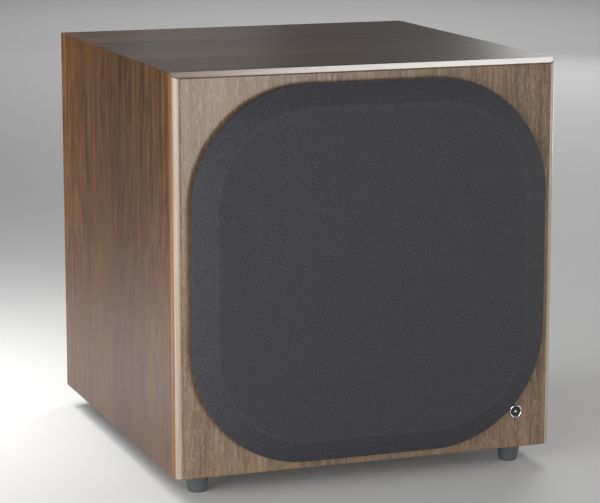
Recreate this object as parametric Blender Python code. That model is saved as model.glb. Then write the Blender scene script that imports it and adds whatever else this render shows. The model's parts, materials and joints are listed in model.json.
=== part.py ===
"""A compact powered subwoofer: a walnut-veneered cube with a cloth grille over a ten-inch driver.

Metres, +Z up, front towards -Y. The origin is on the floor, under the middle of the whole object.
Depths are measured backwards from the front face of the baffle, and heights from the floor.
"""

import math

import bmesh
import bpy
from mathutils import Matrix, Vector

# Driving dimensions of the cabinet, in metres.
CABINET_WIDTH = 0.325
CABINET_HEIGHT = 0.321
CABINET_DEPTH = 0.334
BOARD = 0.018
FOOT_HEIGHT = 0.018
GAP = 0.0003
MITRE_GAP = 0.0002

# The front baffle: a lip over the carcass edges and a plug inside them.
LIP = 0.0085
PLUG = 0.014
EDGE_RADIUS = 0.008
TOP_BEVEL_DROP = 0.0036

# The rear panel and the window brace.
REAR_RECESS = 0.006
REAR_THICKNESS = 0.015
BRACE_DEPTH = 0.175
BRACE_THICKNESS = 0.015
BRACE_WINDOW = (0.200, 0.196)
BRACE_WINDOW_RADIUS = 0.030
WADDING_THICKNESS = 0.012

# The grille: cloth over a ring frame whose rim slopes up to a flat front. Its edge overhangs the foot
# that stands on the baffle, by insets from the edge and by heights over the baffle's face.
GRILLE_WIDTH = 0.301
GRILLE_HEIGHT = 0.303
GRILLE_RADIUS = 0.096
GRILLE_DROP = 0.002
GRILLE_STANDOFF = 0.005
GRILLE_WALL = 0.008
GRILLE_PROUD = 0.015
GRILLE_BEVEL = 0.019
GRILLE_RING = 0.024
GRILLE_FOOT = 0.001
GRILLE_STEP = 0.009
CLOTH = 0.0008
PEG_RADIUS = 0.0035
PEG_LENGTH = 0.010
CUP_RADIUS = 0.006
CUP_DEPTH = 0.012
CUP_FLOOR = 0.0012

# The badge on the baffle.
BADGE_X = 0.1299
BADGE_UP = 0.0305
BADGE_RADIUS = 0.0055
BADGE_RING = 0.0013

# The feet.
FOOT_BOTTOM_RADIUS = 0.0073
FOOT_TOP_RADIUS = 0.0106
FOOT_CHAMFER = 0.0007
FOOT_INSET = 0.026
FOOT_SETBACK = 0.027
STUD_RADIUS = 0.003
STUD_HOLE = 0.0034
STUD_IN_FOOT = 0.008
STUD_IN_BOARD = 0.013

# The driver, by radius and by depth behind the baffle's face.
RIM_RADIUS = 0.125
RIM_BACK = 0.0057
CUTOUT_RADIUS = 0.116
REBATE_DEPTH = 0.006
SCREW_CIRCLE = 0.1195
SCREW_HOLE = 0.0026
SCREW_COUNT = 8
ROLL_OUTER = 0.109
ROLL_INNER = 0.093
ROLL_HEIGHT = 0.0078
RUBBER = 0.001
LEDGE_DEPTH = 0.058
FLANGE_BACK = 0.082
COIL_RADIUS = 0.0254
COIL_TOP = 0.080
COIL_BOTTOM = 0.102
PLATE_RADIUS = 0.062
PLATE_THICKNESS = 0.008
MAGNET_RADIUS = 0.070
MAGNET_THICKNESS = 0.020
YOKE_THICKNESS = 0.008
SPOKE_COUNT = 6

# The amplifier plate at the back, and what it carries, by x and by height over the plate's middle.
AMP_WIDTH = 0.200
AMP_HEIGHT = 0.250
AMP_RADIUS = 0.006
AMP_LAP = 0.012
AMP_THICKNESS = 0.003
SEAL = 0.001
BOARD_STANDOFF = 0.015
CIRCUIT_THICKNESS = 0.0016
KNOB_RADIUS = 0.011
KNOB_HEIGHT = 0.013
SHAFT_RADIUS = 0.003
GAIN_AT = (0.045, 0.085)
CROSSOVER_AT = (-0.045, 0.085)
LED_AT = (0.0, 0.104)
PHASE_AT = (0.052, 0.045)
EQ_AT = (0.0, 0.045)
AUTO_AT = (-0.052, 0.045)
RCA_LEFT_AT = (0.052, 0.008)
RCA_RIGHT_AT = (0.030, 0.008)
TRIGGER_AT = (-0.040, 0.008)
POWER_AT = (-0.048, -0.036)
INLET_AT = (-0.048, -0.082)
TRANSFORMER_AT = (0.042, -0.064)
TRANSFORMER_RADIUS = 0.042
TRANSFORMER_HEIGHT = 0.034
TOGGLE_TRAVEL = 0.004
EQ_TRAVEL = 0.003
ROCKER_TILT = math.radians(10)

# Sides that a round shape is divided into.
DRIVER_STEPS = 36
SMALL_STEPS = 20
CORNER_STEPS = 8

# Places worked out from the dimensions above.
CENTRE_Z = FOOT_HEIGHT + CABINET_HEIGHT / 2
DRIVER_Z = CENTRE_Z - GRILLE_DROP
INNER_WIDTH = CABINET_WIDTH - 2 * BOARD
INNER_HEIGHT = CABINET_HEIGHT - 2 * BOARD
PANEL_BACK = CABINET_DEPTH - REAR_RECESS
PANEL_FRONT = PANEL_BACK - REAR_THICKNESS
PLATE_BACK = PANEL_BACK + 2 * GAP + SEAL + AMP_THICKNESS
PLATE_FRONT = PLATE_BACK - AMP_THICKNESS
KNOB_FRONT = PLATE_BACK + 0.0004
KNOB_BACK = KNOB_FRONT + KNOB_HEIGHT
FRONT_Y = (GRILLE_PROUD - KNOB_BACK) / 2
CIRCUIT_BACK = PLATE_FRONT - BOARD_STANDOFF
CIRCUIT_FRONT = CIRCUIT_BACK - CIRCUIT_THICKNESS

FRONTWARDS = (math.pi / 2, 0, 0)
BACKWARDS = (-math.pi / 2, 0, 0)


def clear_scene():
    for old in list(bpy.data.objects):
        bpy.data.objects.remove(old, do_unlink=True)


def finish_material(name, colour, roughness, metallic=0.0):
    material = bpy.data.materials.new(name)
    material.use_nodes = True
    shader = material.node_tree.nodes["Principled BSDF"]
    shader.inputs["Base Color"].default_value = (*colour, 1)
    shader.inputs["Roughness"].default_value = roughness
    shader.inputs["Metallic"].default_value = metallic
    material.diffuse_color = (*colour, 1)
    return material


def finishes():
    """Every finish of the object, by name: linear colour, roughness and metallic."""
    return {
        "walnut": finish_material("walnut", (0.22, 0.13, 0.075), 0.45),
        "fibreboard": finish_material("fibreboard", (0.30, 0.20, 0.12), 0.8),
        "grille_cloth": finish_material("grille_cloth", (0.055, 0.056, 0.062), 0.9),
        "black_plastic": finish_material("black_plastic", (0.02, 0.02, 0.022), 0.45),
        "grey_plastic": finish_material("grey_plastic", (0.075, 0.085, 0.09), 0.5),
        "black_rubber": finish_material("black_rubber", (0.015, 0.015, 0.015), 0.7),
        "chrome": finish_material("chrome", (0.75, 0.76, 0.78), 0.12, 1.0),
        "gloss_black": finish_material("gloss_black", (0.01, 0.01, 0.011), 0.1),
        "cast_metal": finish_material("cast_metal", (0.045, 0.047, 0.05), 0.5, 0.4),
        "steel": finish_material("steel", (0.5, 0.5, 0.5), 0.35, 1.0),
        "ferrite": finish_material("ferrite", (0.03, 0.03, 0.032), 0.6),
        "cone_metal": finish_material("cone_metal", (0.13, 0.13, 0.14), 0.35, 0.7),
        "coil_former": finish_material("coil_former", (0.35, 0.2, 0.06), 0.5),
        "copper": finish_material("copper", (0.75, 0.32, 0.15), 0.3, 1.0),
        "spider_cloth": finish_material("spider_cloth", (0.5, 0.33, 0.09), 0.85),
        "wadding": finish_material("wadding", (0.75, 0.74, 0.70), 0.95),
        "amp_paint": finish_material("amp_paint", (0.018, 0.018, 0.02), 0.5, 0.2),
        "circuit": finish_material("circuit", (0.02, 0.12, 0.05), 0.5),
        "bare_aluminium": finish_material("bare_aluminium", (0.6, 0.61, 0.62), 0.4, 1.0),
        "red_insert": finish_material("red_insert", (0.45, 0.02, 0.02), 0.4),
        "white_insert": finish_material("white_insert", (0.75, 0.75, 0.73), 0.4),
        "blue_lens": finish_material("blue_lens", (0.05, 0.15, 0.6), 0.15),
    }


def group(name, x=0.0, depth=0.0, z=0.0):
    """An empty that carries one rigid group. A moving group's empty is on its joint's axis."""
    empty = bpy.data.objects.new(name, None)
    empty.location = (x, FRONT_Y + depth, z)
    bpy.context.scene.collection.objects.link(empty)
    return empty


def add(name, bm, material, carrier, place=(0, 0, 0), turn=(0, 0, 0)):
    """Turns a mesh under construction into a named object at a place in the object's frame."""
    bmesh.ops.recalc_face_normals(bm, faces=bm.faces[:])
    mesh = bpy.data.meshes.new(name)
    bm.to_mesh(mesh)
    bm.free()
    mesh.shade_smooth()
    mesh.set_sharp_from_angle(angle=math.radians(35))
    made = bpy.data.objects.new(name, mesh)
    bpy.context.scene.collection.objects.link(made)
    if material is not None:
        mesh.materials.append(material)
    if carrier is not None:
        made.parent = carrier
        made.location = Vector(place) - carrier.location
    else:
        made.location = place
    made.rotation_euler = turn
    return made


def tool(name, bm):
    """A hidden shape that a Boolean cuts with, or joins on."""
    shape = add(name, bm, None, None)
    shape.hide_render = True
    shape.display_type = "WIRE"
    return shape


def boolean(target, shape, operation="DIFFERENCE"):
    modifier = target.modifiers.new(shape.name, "BOOLEAN")
    modifier.object = shape
    modifier.operation = operation
    modifier.solver = "EXACT"


def block(bm, low, high):
    """Adds a box between two corners."""
    low = Vector(low)
    high = Vector(high)
    placed = Matrix.Translation((low + high) / 2) @ Matrix.Diagonal((*(high - low), 1))
    bmesh.ops.create_cube(bm, size=1, matrix=placed)


def rod(bm, x, z, radius, front, back, steps=SMALL_STEPS):
    """Adds a round rod along Y between two depths."""
    middle = Vector((x, FRONT_Y + (front + back) / 2, z))
    placed = Matrix.Translation(middle) @ Matrix.Rotation(math.pi / 2, 4, "X")
    bmesh.ops.create_cone(
        bm, cap_ends=True, segments=steps, radius1=radius, radius2=radius, depth=back - front, matrix=placed
    )


def slab(bm, width, height, front, back, x=0.0, z=CENTRE_Z):
    """Adds a box by its size across, centred on x and z, between two depths."""
    low = (x - width / 2, FRONT_Y + front, z - height / 2)
    high = (x + width / 2, FRONT_Y + back, z + height / 2)
    block(bm, low, high)


def rounded_ring(width, height, radius, steps=CORNER_STEPS):
    """Points round a rectangle with rounded corners, as (across, up)."""
    points = []
    for quarter in range(4):
        side_x = 1 if quarter in (0, 3) else -1
        side_z = 1 if quarter in (0, 1) else -1
        centre_x = side_x * (width / 2 - radius)
        centre_z = side_z * (height / 2 - radius)
        for step in range(steps + 1):
            angle = math.pi / 2 * (quarter + step / steps)
            points.append((centre_x + radius * math.cos(angle), centre_z + radius * math.sin(angle)))
    return points


def loft(bm, rings, closed=False):
    """Skins a row of rings of points. A closed row joins up as a tube, and an open one is capped."""
    loops = [[bm.verts.new(point) for point in ring] for ring in rings]
    count = len(loops[0])
    pairs = list(zip(loops, loops[1:]))
    if closed:
        pairs.append((loops[-1], loops[0]))
    for first, second in pairs:
        for i in range(count):
            j = (i + 1) % count
            bm.faces.new((first[i], first[j], second[j], second[i]))
    if not closed:
        bm.faces.new(loops[0])
        bm.faces.new(loops[-1])


def rounded_slab(bm, width, height, radius, front, back, x=0.0, z=CENTRE_Z):
    """Adds a plate with rounded corners between two depths."""
    outline = rounded_ring(width, height, radius)
    loft(bm, [[(x + a, FRONT_Y + depth, z + b) for a, b in outline] for depth in (front, back)])


def turned(name, outline, material, carrier, place, turn=FRONTWARDS, steps=DRIVER_STEPS):
    """A turned solid. The outline is (radius, height) points; it starts and ends on the axis, or is a loop."""
    bm = bmesh.new()
    corners = [bm.verts.new((radius, 0, height)) for radius, height in outline]
    edges = [bm.edges.new(pair) for pair in zip(corners, corners[1:])]
    on_axis = outline[0][0] == 0
    if not on_axis:
        edges.append(bm.edges.new((corners[-1], corners[0])))
    bmesh.ops.spin(
        bm,
        geom=corners + edges,
        cent=(0, 0, 0),
        axis=(0, 0, 1),
        angle=2 * math.pi,
        steps=steps,
        use_merge=True,
    )
    bmesh.ops.remove_doubles(bm, verts=bm.verts[:], dist=1e-6)
    return add(name, bm, material, carrier, place, turn)


def driver_place(depth=0.0):
    return (0, FRONT_Y + depth, DRIVER_Z)


def turned_by_depth(name, outline, material, carrier):
    """A turned part of the driver, whose outline is (radius, depth behind the baffle's face)."""
    return turned(name, [(r, -depth) for r, depth in outline], material, carrier, driver_place())


def make_carcass(finish, cabinet):
    """Two sides, a top and a bottom, mitred where they meet, from the baffle's lip to the back."""
    half = CABINET_WIDTH / 2
    front = FRONT_Y + LIP + GAP
    back = FRONT_Y + CABINET_DEPTH
    top = FOOT_HEIGHT + CABINET_HEIGHT
    for name, side in (("left_side_panel", -1), ("right_side_panel", 1)):
        outline = [
            (side * half, FOOT_HEIGHT + MITRE_GAP),
            (side * (half - BOARD), FOOT_HEIGHT + BOARD + MITRE_GAP),
            (side * (half - BOARD), top - BOARD - MITRE_GAP),
            (side * half, top - MITRE_GAP),
        ]
        bm = bmesh.new()
        loft(bm, [[(x, y, z) for x, z in outline] for y in (front, back)])
        add(name, bm, finish["walnut"], cabinet)
    panels = {}
    for name, outer, inner in (
        ("top_panel", top, top - BOARD),
        ("bottom_panel", FOOT_HEIGHT, FOOT_HEIGHT + BOARD),
    ):
        reach = half - MITRE_GAP
        outline = [(-reach, outer), (-reach + BOARD, inner), (reach - BOARD, inner), (reach, outer)]
        bm = bmesh.new()
        loft(bm, [[(x, y, z) for x, z in outline] for y in (front, back)])
        panels[name] = add(name, bm, finish["walnut"], cabinet)
    holes = bmesh.new()
    for x, y in foot_places():
        bmesh.ops.create_cone(
            holes,
            cap_ends=True,
            segments=16,
            radius1=STUD_HOLE,
            radius2=STUD_HOLE,
            depth=2 * (STUD_IN_BOARD + 0.001),
            matrix=Matrix.Translation((x, y, FOOT_HEIGHT)),
        )
    boolean(panels["bottom_panel"], tool("stud_holes", holes))


def make_baffle(finish, cabinet):
    """The front board: rounded upright edges, a bevelled top edge, the driver's hole and the cups' holes."""
    half = CABINET_WIDTH / 2
    outline = [(half, LIP)]
    for step in range(7):
        angle = math.pi / 2 * step / 6
        outline.append(
            (half - EDGE_RADIUS + EDGE_RADIUS * math.cos(angle), EDGE_RADIUS - EDGE_RADIUS * math.sin(angle))
        )
    outline += [(-x, depth) for x, depth in reversed(outline)]
    top = FOOT_HEIGHT + CABINET_HEIGHT
    bm = bmesh.new()
    loft(bm, [[(x, FRONT_Y + depth, z) for x, depth in outline] for z in (FOOT_HEIGHT, top)])
    cut = bmesh.ops.bisect_plane(
        bm,
        geom=bm.verts[:] + bm.edges[:] + bm.faces[:],
        dist=1e-7,
        plane_co=(0, FRONT_Y, top - TOP_BEVEL_DROP),
        plane_no=(0, -TOP_BEVEL_DROP, LIP),
        clear_outer=True,
    )
    rim = [part for part in cut["geom_cut"] if isinstance(part, bmesh.types.BMEdge)]
    bmesh.ops.contextual_create(bm, geom=rim)
    baffle = add("front_baffle", bm, finish["walnut"], cabinet)

    plug = bmesh.new()
    slab(plug, INNER_WIDTH - 2 * GAP, INNER_HEIGHT - 2 * GAP, LIP - 0.002, LIP + PLUG)
    boolean(baffle, tool("baffle_plug", plug), "UNION")

    holes = bmesh.new()
    rod(holes, 0, DRIVER_Z, RIM_RADIUS + 0.0006, -0.01, REBATE_DEPTH, DRIVER_STEPS)
    boolean(baffle, tool("driver_rebate", holes))
    holes = bmesh.new()
    rod(holes, 0, DRIVER_Z, CUTOUT_RADIUS, -0.02, 0.05, DRIVER_STEPS)
    for x, z in cup_places():
        rod(holes, x, z, CUP_RADIUS + GAP, -0.01, CUP_DEPTH + GAP, 16)
    boolean(baffle, tool("driver_and_cup_holes", holes))


def make_inner_boards(finish, cabinet):
    """The rear panel with the amplifier's hole, the window brace, and wadding on three walls."""
    width = INNER_WIDTH - 2 * GAP
    height = INNER_HEIGHT - 2 * GAP
    bm = bmesh.new()
    slab(bm, width, height, PANEL_FRONT, PANEL_BACK)
    rear = add("rear_panel", bm, finish["fibreboard"], cabinet)
    hole = bmesh.new()
    rounded_slab(
        hole, AMP_WIDTH - 2 * AMP_LAP, AMP_HEIGHT - 2 * AMP_LAP, AMP_RADIUS, PANEL_FRONT - 0.01, PANEL_BACK + 0.01
    )
    boolean(rear, tool("amplifier_hole", hole))

    bm = bmesh.new()
    slab(bm, width, height, BRACE_DEPTH, BRACE_DEPTH + BRACE_THICKNESS)
    brace = add("window_brace", bm, finish["fibreboard"], cabinet)
    hole = bmesh.new()
    rounded_slab(hole, *BRACE_WINDOW, BRACE_WINDOW_RADIUS, BRACE_DEPTH - 0.01, BRACE_DEPTH + 0.03)
    boolean(brace, tool("brace_window", hole))

    reach = width / 2
    top = CENTRE_Z + height / 2
    bottom = CENTRE_Z - height / 2
    inner = reach - WADDING_THICKNESS
    outline = [
        (-reach, bottom),
        (-reach, top),
        (reach, top),
        (reach, bottom),
        (inner, bottom),
        (inner, top - WADDING_THICKNESS),
        (-inner, top - WADDING_THICKNESS),
        (-inner, bottom),
    ]
    ends = (BRACE_DEPTH + BRACE_THICKNESS + 0.002, PANEL_FRONT - 0.002)
    bm = bmesh.new()
    loft(bm, [[(x, FRONT_Y + depth, z) for x, z in outline] for depth in ends])
    add("damping_wadding", bm, finish["wadding"], cabinet)


def cup_places():
    """The middles of the four corner arcs of the grille frame's foot."""
    reach = (GRILLE_RADIUS - (GRILLE_STEP + GRILLE_RING) / 2) * math.sqrt(0.5)
    x = GRILLE_WIDTH / 2 - GRILLE_RADIUS + reach
    up = GRILLE_HEIGHT / 2 - GRILLE_RADIUS + reach
    return [(-x, DRIVER_Z - up), (x, DRIVER_Z - up), (-x, DRIVER_Z + up), (x, DRIVER_Z + up)]


def grille_ring(inset, proud):
    outline = rounded_ring(GRILLE_WIDTH - 2 * inset, GRILLE_HEIGHT - 2 * inset, GRILLE_RADIUS - inset)
    return [(x, -proud, up) for x, up in outline]


def make_grille(finish, cabinet, grille):
    """A ring frame with four pegs, the cloth stretched over it, and the cups that hold the pegs."""
    place = driver_place()
    profile = [
        (GRILLE_BEVEL, GRILLE_PROUD),
        (0, GRILLE_WALL),
        (0, GRILLE_STANDOFF),
        (CLOTH, GRILLE_STANDOFF),
        (CLOTH, GRILLE_WALL - 0.0005),
        (GRILLE_BEVEL + 0.0003, GRILLE_PROUD - CLOTH),
    ]
    bm = bmesh.new()
    loft(bm, [grille_ring(*corner) for corner in profile])
    add("grille_cloth", bm, finish["grille_cloth"], grille, place)

    skin = CLOTH + GAP
    profile = [
        (skin, GRILLE_STANDOFF + GAP),
        (skin, GRILLE_WALL - 0.0009),
        (GRILLE_BEVEL + 0.0004, GRILLE_PROUD - skin - 0.0001),
        (GRILLE_RING, GRILLE_PROUD - skin - 0.0001),
        (GRILLE_RING, GRILLE_FOOT + GAP),
        (GRILLE_STEP, GRILLE_FOOT + GAP),
        (GRILLE_STEP, GRILLE_STANDOFF + GAP),
    ]
    bm = bmesh.new()
    loft(bm, [grille_ring(*corner) for corner in profile], closed=True)
    frame = add("grille_frame", bm, finish["black_plastic"], grille, place)
    pegs = bmesh.new()
    for x, z in cup_places():
        rod(pegs, x, z, PEG_RADIUS, -GRILLE_FOOT - 0.003, PEG_LENGTH, 16)
    boolean(frame, tool("grille_pegs", pegs), "UNION")

    cup = [
        (0, -CUP_DEPTH),
        (CUP_RADIUS, -CUP_DEPTH),
        (CUP_RADIUS, -GAP),
        (PEG_RADIUS + 0.0004, -GAP),
        (PEG_RADIUS + 0.0004, CUP_FLOOR - CUP_DEPTH),
        (0, CUP_FLOOR - CUP_DEPTH),
    ]
    for number, (x, z) in enumerate(cup_places(), 1):
        turned(f"grille_cup_{number}", cup, finish["black_rubber"], cabinet, (x, FRONT_Y, z), steps=16)


def make_badge(finish, cabinet):
    """A plain round badge: a bright ring round a black disc."""
    place = (BADGE_X, FRONT_Y, FOOT_HEIGHT + BADGE_UP)
    inner = BADGE_RADIUS - BADGE_RING
    ring = [
        (BADGE_RADIUS, GAP),
        (BADGE_RADIUS, 0.0012),
        (BADGE_RADIUS - 0.0004, 0.0016),
        (inner + 0.0003, 0.0016),
        (inner, 0.0012),
        (inner, GAP),
    ]
    turned("badge_ring", ring, finish["chrome"], cabinet, place, steps=32)
    disc = [(0, GAP), (inner - GAP, GAP), (inner - GAP, 0.0011), (0, 0.0013)]
    turned("badge_disc", disc, finish["gloss_black"], cabinet, place, steps=SMALL_STEPS)


def foot_places():
    x = CABINET_WIDTH / 2 - FOOT_INSET
    front = FRONT_Y + FOOT_SETBACK
    back = FRONT_Y + CABINET_DEPTH - FOOT_SETBACK
    return [(-x, front), (x, front), (-x, back), (x, back)]


def make_feet(finish, cabinet):
    """Four tapered round feet, each on a threaded stud that screws into the bottom panel."""
    top = FOOT_HEIGHT - GAP
    hole_end = FOOT_HEIGHT - STUD_IN_FOOT - GAP
    foot = [
        (0, 0),
        (FOOT_BOTTOM_RADIUS - FOOT_CHAMFER, 0),
        (FOOT_BOTTOM_RADIUS, FOOT_CHAMFER),
        (FOOT_TOP_RADIUS, top),
        (STUD_HOLE, top),
        (STUD_HOLE, hole_end),
        (0, hole_end),
    ]
    stud = [
        (0, FOOT_HEIGHT + STUD_IN_BOARD),
        (STUD_RADIUS, FOOT_HEIGHT + STUD_IN_BOARD),
        (STUD_RADIUS, FOOT_HEIGHT - STUD_IN_FOOT),
        (0, FOOT_HEIGHT - STUD_IN_FOOT),
    ]
    for number, (x, y) in enumerate(foot_places(), 1):
        turned(f"foot_{number}", foot, finish["grey_plastic"], cabinet, (x, y, 0), (0, 0, 0), 24)
        turned(f"foot_stud_{number}", stud, finish["steel"], cabinet, (x, y, 0), (0, 0, 0), 12)


def make_basket(finish, cabinet):
    """The driver's cast chassis: a screwed rim, six spokes, a ledge for the spider and a back flange."""
    inner = ROLL_OUTER
    outline = [
        (inner, 0.001),
        (RIM_RADIUS, 0.001),
        (RIM_RADIUS, RIM_BACK),
        (0.1145, RIM_BACK),
        (0.1135, 0.014),
        (0.082, 0.060),
        (0.070, FLANGE_BACK),
        (0.034, FLANGE_BACK),
        (0.034, FLANGE_BACK - 0.004),
        (0.060, FLANGE_BACK - 0.004),
        (0.068, LEDGE_DEPTH + 0.004),
        (0.069, LEDGE_DEPTH),
        (0.0775, LEDGE_DEPTH),
        (inner, 0.012),
    ]
    basket = turned_by_depth("basket", outline, finish["cast_metal"], cabinet)
    cuts = bmesh.new()
    for number in range(SPOKE_COUNT):
        angle = math.radians(30) + number * 2 * math.pi / SPOKE_COUNT
        placed = (
            Matrix.Translation(driver_place(0.035))
            @ Matrix.Rotation(angle, 4, "Y")
            @ Matrix.Translation((0.100, 0, 0))
            @ Matrix.Diagonal((0.080, 0.036, 0.062, 1))
        )
        bmesh.ops.create_cube(cuts, size=1, matrix=placed)
    boolean(basket, tool("basket_windows", cuts))
    holes = bmesh.new()
    for number in range(SCREW_COUNT):
        angle = (number + 0.5) * 2 * math.pi / SCREW_COUNT
        x = SCREW_CIRCLE * math.cos(angle)
        rod(holes, x, DRIVER_Z + SCREW_CIRCLE * math.sin(angle), SCREW_HOLE, -0.01, 0.012, 8)
    boolean(basket, tool("rim_screw_holes", holes))


def make_moving_parts(finish, cabinet, moving):
    """The cone with its cap, former and coil, and the surround and spider that hold them in line."""
    middle = (ROLL_OUTER + ROLL_INNER) / 2
    roll = (ROLL_OUTER - ROLL_INNER) / 2
    flat = 0.0007
    outline = [(0.0868, flat), (0.0868, flat - RUBBER)]
    arc_steps = 6
    for step in range(arc_steps + 1):
        angle = math.pi * (1 - step / arc_steps)
        rise = ROLL_HEIGHT * math.sin(angle)
        outline.append((middle + roll * math.cos(angle), flat - RUBBER - rise))
    outline += [(0.1143, flat - RUBBER), (0.1143, flat)]
    for step in range(arc_steps + 1):
        angle = math.pi * step / arc_steps
        rise = ROLL_HEIGHT * math.sin(angle)
        outline.append((middle + (roll - RUBBER) * math.cos(angle), flat - rise))
    turned_by_depth("surround", outline, finish["black_rubber"], cabinet)

    trim = [(0.1092, -0.0018), (0.1120, -0.0022), (0.1143, -0.0018), (0.1143, -0.0006), (0.1092, -0.0006)]
    turned_by_depth("trim_ring", trim, finish["black_rubber"], cabinet)

    cone = [
        (0.0257, 0.0435),
        (0.0400, 0.0328),
        (0.0640, 0.0166),
        (0.0868, 0.0010),
        (0.0925, 0.0010),
        (0.0925, 0.0022),
        (0.0873, 0.0022),
        (0.0647, 0.0178),
        (0.0407, 0.0340),
        (0.0270, 0.0460),
        (0.0257, 0.0460),
    ]
    turned_by_depth("cone", cone, finish["cone_metal"], moving)

    cap_radius = 0.0395
    outline = []
    for rise, radius, steps in ((0.0105, cap_radius, 4), (0.0095, cap_radius - 0.0011, 4)):
        arc = []
        for step in range(steps + 1):
            angle = math.pi / 2 * step / steps
            arc.append((radius * math.sin(angle), 0.0325 - rise * math.cos(angle)))
        arc[0] = (0, arc[0][1])
        outline += arc if not outline else reversed(arc)
    turned_by_depth("dust_cap", outline, finish["cone_metal"], moving)

    inner = COIL_RADIUS - 0.0005
    former = [(inner, 0.0430), (COIL_RADIUS, 0.0430), (COIL_RADIUS, COIL_BOTTOM), (inner, COIL_BOTTOM)]
    turned_by_depth("coil_former", former, finish["coil_former"], moving)
    inner = COIL_RADIUS + GAP
    outer = inner + 0.0013
    coil = [(inner, COIL_TOP), (outer, COIL_TOP), (outer, COIL_BOTTOM), (inner, COIL_BOTTOM)]
    turned_by_depth("voice_coil", coil, finish["copper"], moving)

    cloth = 0.0008
    front = LEDGE_DEPTH - GAP - cloth
    wave = 0.0022
    first_crest = 0.031
    pitch = 0.0075
    upper = [(COIL_RADIUS + GAP, front)]
    upper += [(first_crest + i * pitch, front + (wave if i % 2 else -wave)) for i in range(5)]
    upper += [(0.0665, front), (0.0765, front)]
    outline = upper + [(radius, depth + cloth) for radius, depth in reversed(upper)]
    turned_by_depth("spider", outline, finish["spider_cloth"], cabinet)


def make_motor(finish, cabinet):
    """The magnet between its front plate and its yoke, whose pole stands inside the coil."""
    plate_front = FLANGE_BACK + GAP
    plate_back = plate_front + PLATE_THICKNESS
    inner = COIL_RADIUS + 0.0026
    plate = [
        (inner, plate_front),
        (PLATE_RADIUS, plate_front),
        (PLATE_RADIUS, plate_back),
        (inner, plate_back),
    ]
    turned_by_depth("top_plate", plate, finish["steel"], cabinet)
    magnet_front = plate_back + GAP
    magnet_back = magnet_front + MAGNET_THICKNESS
    chamfer = 0.0015
    magnet = [
        (0.032, magnet_front),
        (MAGNET_RADIUS - chamfer, magnet_front),
        (MAGNET_RADIUS, magnet_front + chamfer),
        (MAGNET_RADIUS, magnet_back - chamfer),
        (MAGNET_RADIUS - chamfer, magnet_back),
        (0.032, magnet_back),
    ]
    turned_by_depth("magnet", magnet, finish["ferrite"], cabinet)
    pole = COIL_RADIUS - 0.0014
    vent = 0.006
    yoke_front = magnet_back + GAP
    yoke_back = yoke_front + YOKE_THICKNESS
    yoke = [
        (vent, plate_front),
        (pole, plate_front),
        (pole, yoke_front),
        (PLATE_RADIUS, yoke_front),
        (PLATE_RADIUS, yoke_back - chamfer),
        (PLATE_RADIUS - chamfer, yoke_back),
        (vent, yoke_back),
    ]
    turned_by_depth("pole_yoke", yoke, finish["steel"], cabinet)

    half = 0.010
    wedge = [(0.0670, -0.0787), (0.0800, -0.0716), (0.0800, -0.0900), (0.0670, -0.0900)]
    bm = bmesh.new()
    loft(bm, [[(x, FRONT_Y + depth, DRIVER_Z + up) for depth, up in wedge] for x in (-half, half)])
    add("driver_terminal", bm, finish["black_plastic"], cabinet)


def make_lead(finish, cabinet):
    """The lead from the amplifier to the driver, over the lower bar of the brace's window."""
    window_sill = CENTRE_Z - BRACE_WINDOW[1] / 2
    radius = 0.003
    route = [
        (0, 0.0735, DRIVER_Z - 0.0907),
        (0, 0.0735, DRIVER_Z - 0.0990),
        (-0.004, 0.088, DRIVER_Z - 0.1090),
        (-0.012, 0.130, DRIVER_Z - 0.1060),
        (-0.020, 0.165, window_sill + radius + 0.0012),
        (-0.024, 0.1825, window_sill + radius + 0.0006),
        (-0.028, 0.200, window_sill + radius + 0.0004),
        (-0.040, 0.232, window_sill - 0.006),
        (-0.058, 0.262, window_sill + 0.020),
        (-0.070, 0.282, window_sill + 0.070),
        (-0.074, 0.298, CENTRE_Z + 0.018),
        (-0.074, 0.306, CENTRE_Z + 0.020),
        (-0.074, CIRCUIT_FRONT - 2 * GAP, CENTRE_Z + 0.020),
    ]
    knots = [Vector((x, FRONT_Y + depth, z)) for x, depth, z in route]
    smooth = smooth_route(knots, 3)
    curve = bpy.data.curves.new("speaker_lead", "CURVE")
    curve.dimensions = "3D"
    curve.bevel_depth = radius
    curve.bevel_resolution = 2
    curve.use_fill_caps = True
    spline = curve.splines.new("POLY")
    spline.points.add(len(smooth) - 1)
    for point, place in zip(spline.points, smooth):
        point.co = (*place, 1)
    curve.materials.append(finish["black_plastic"])
    lead = bpy.data.objects.new("speaker_lead", curve)
    bpy.context.scene.collection.objects.link(lead)
    lead.parent = cabinet
    lead.matrix_parent_inverse = Matrix.Translation(-cabinet.location)


def smooth_route(knots, parts):
    """Points on a Catmull-Rom curve through the knots, with some parts to each stretch."""
    ends = [2 * knots[0] - knots[1]] + knots + [2 * knots[-1] - knots[-2]]
    places = []
    for i in range(1, len(ends) - 2):
        a, b, c, d = ends[i - 1 : i + 3]
        for part in range(parts):
            t = part / parts
            places.append(
                0.5 * (2 * b + (c - a) * t + (2 * a - 5 * b + 4 * c - d) * t**2 + (3 * b - a - 3 * c + d) * t**3)
            )
    return places + [knots[-1]]


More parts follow.
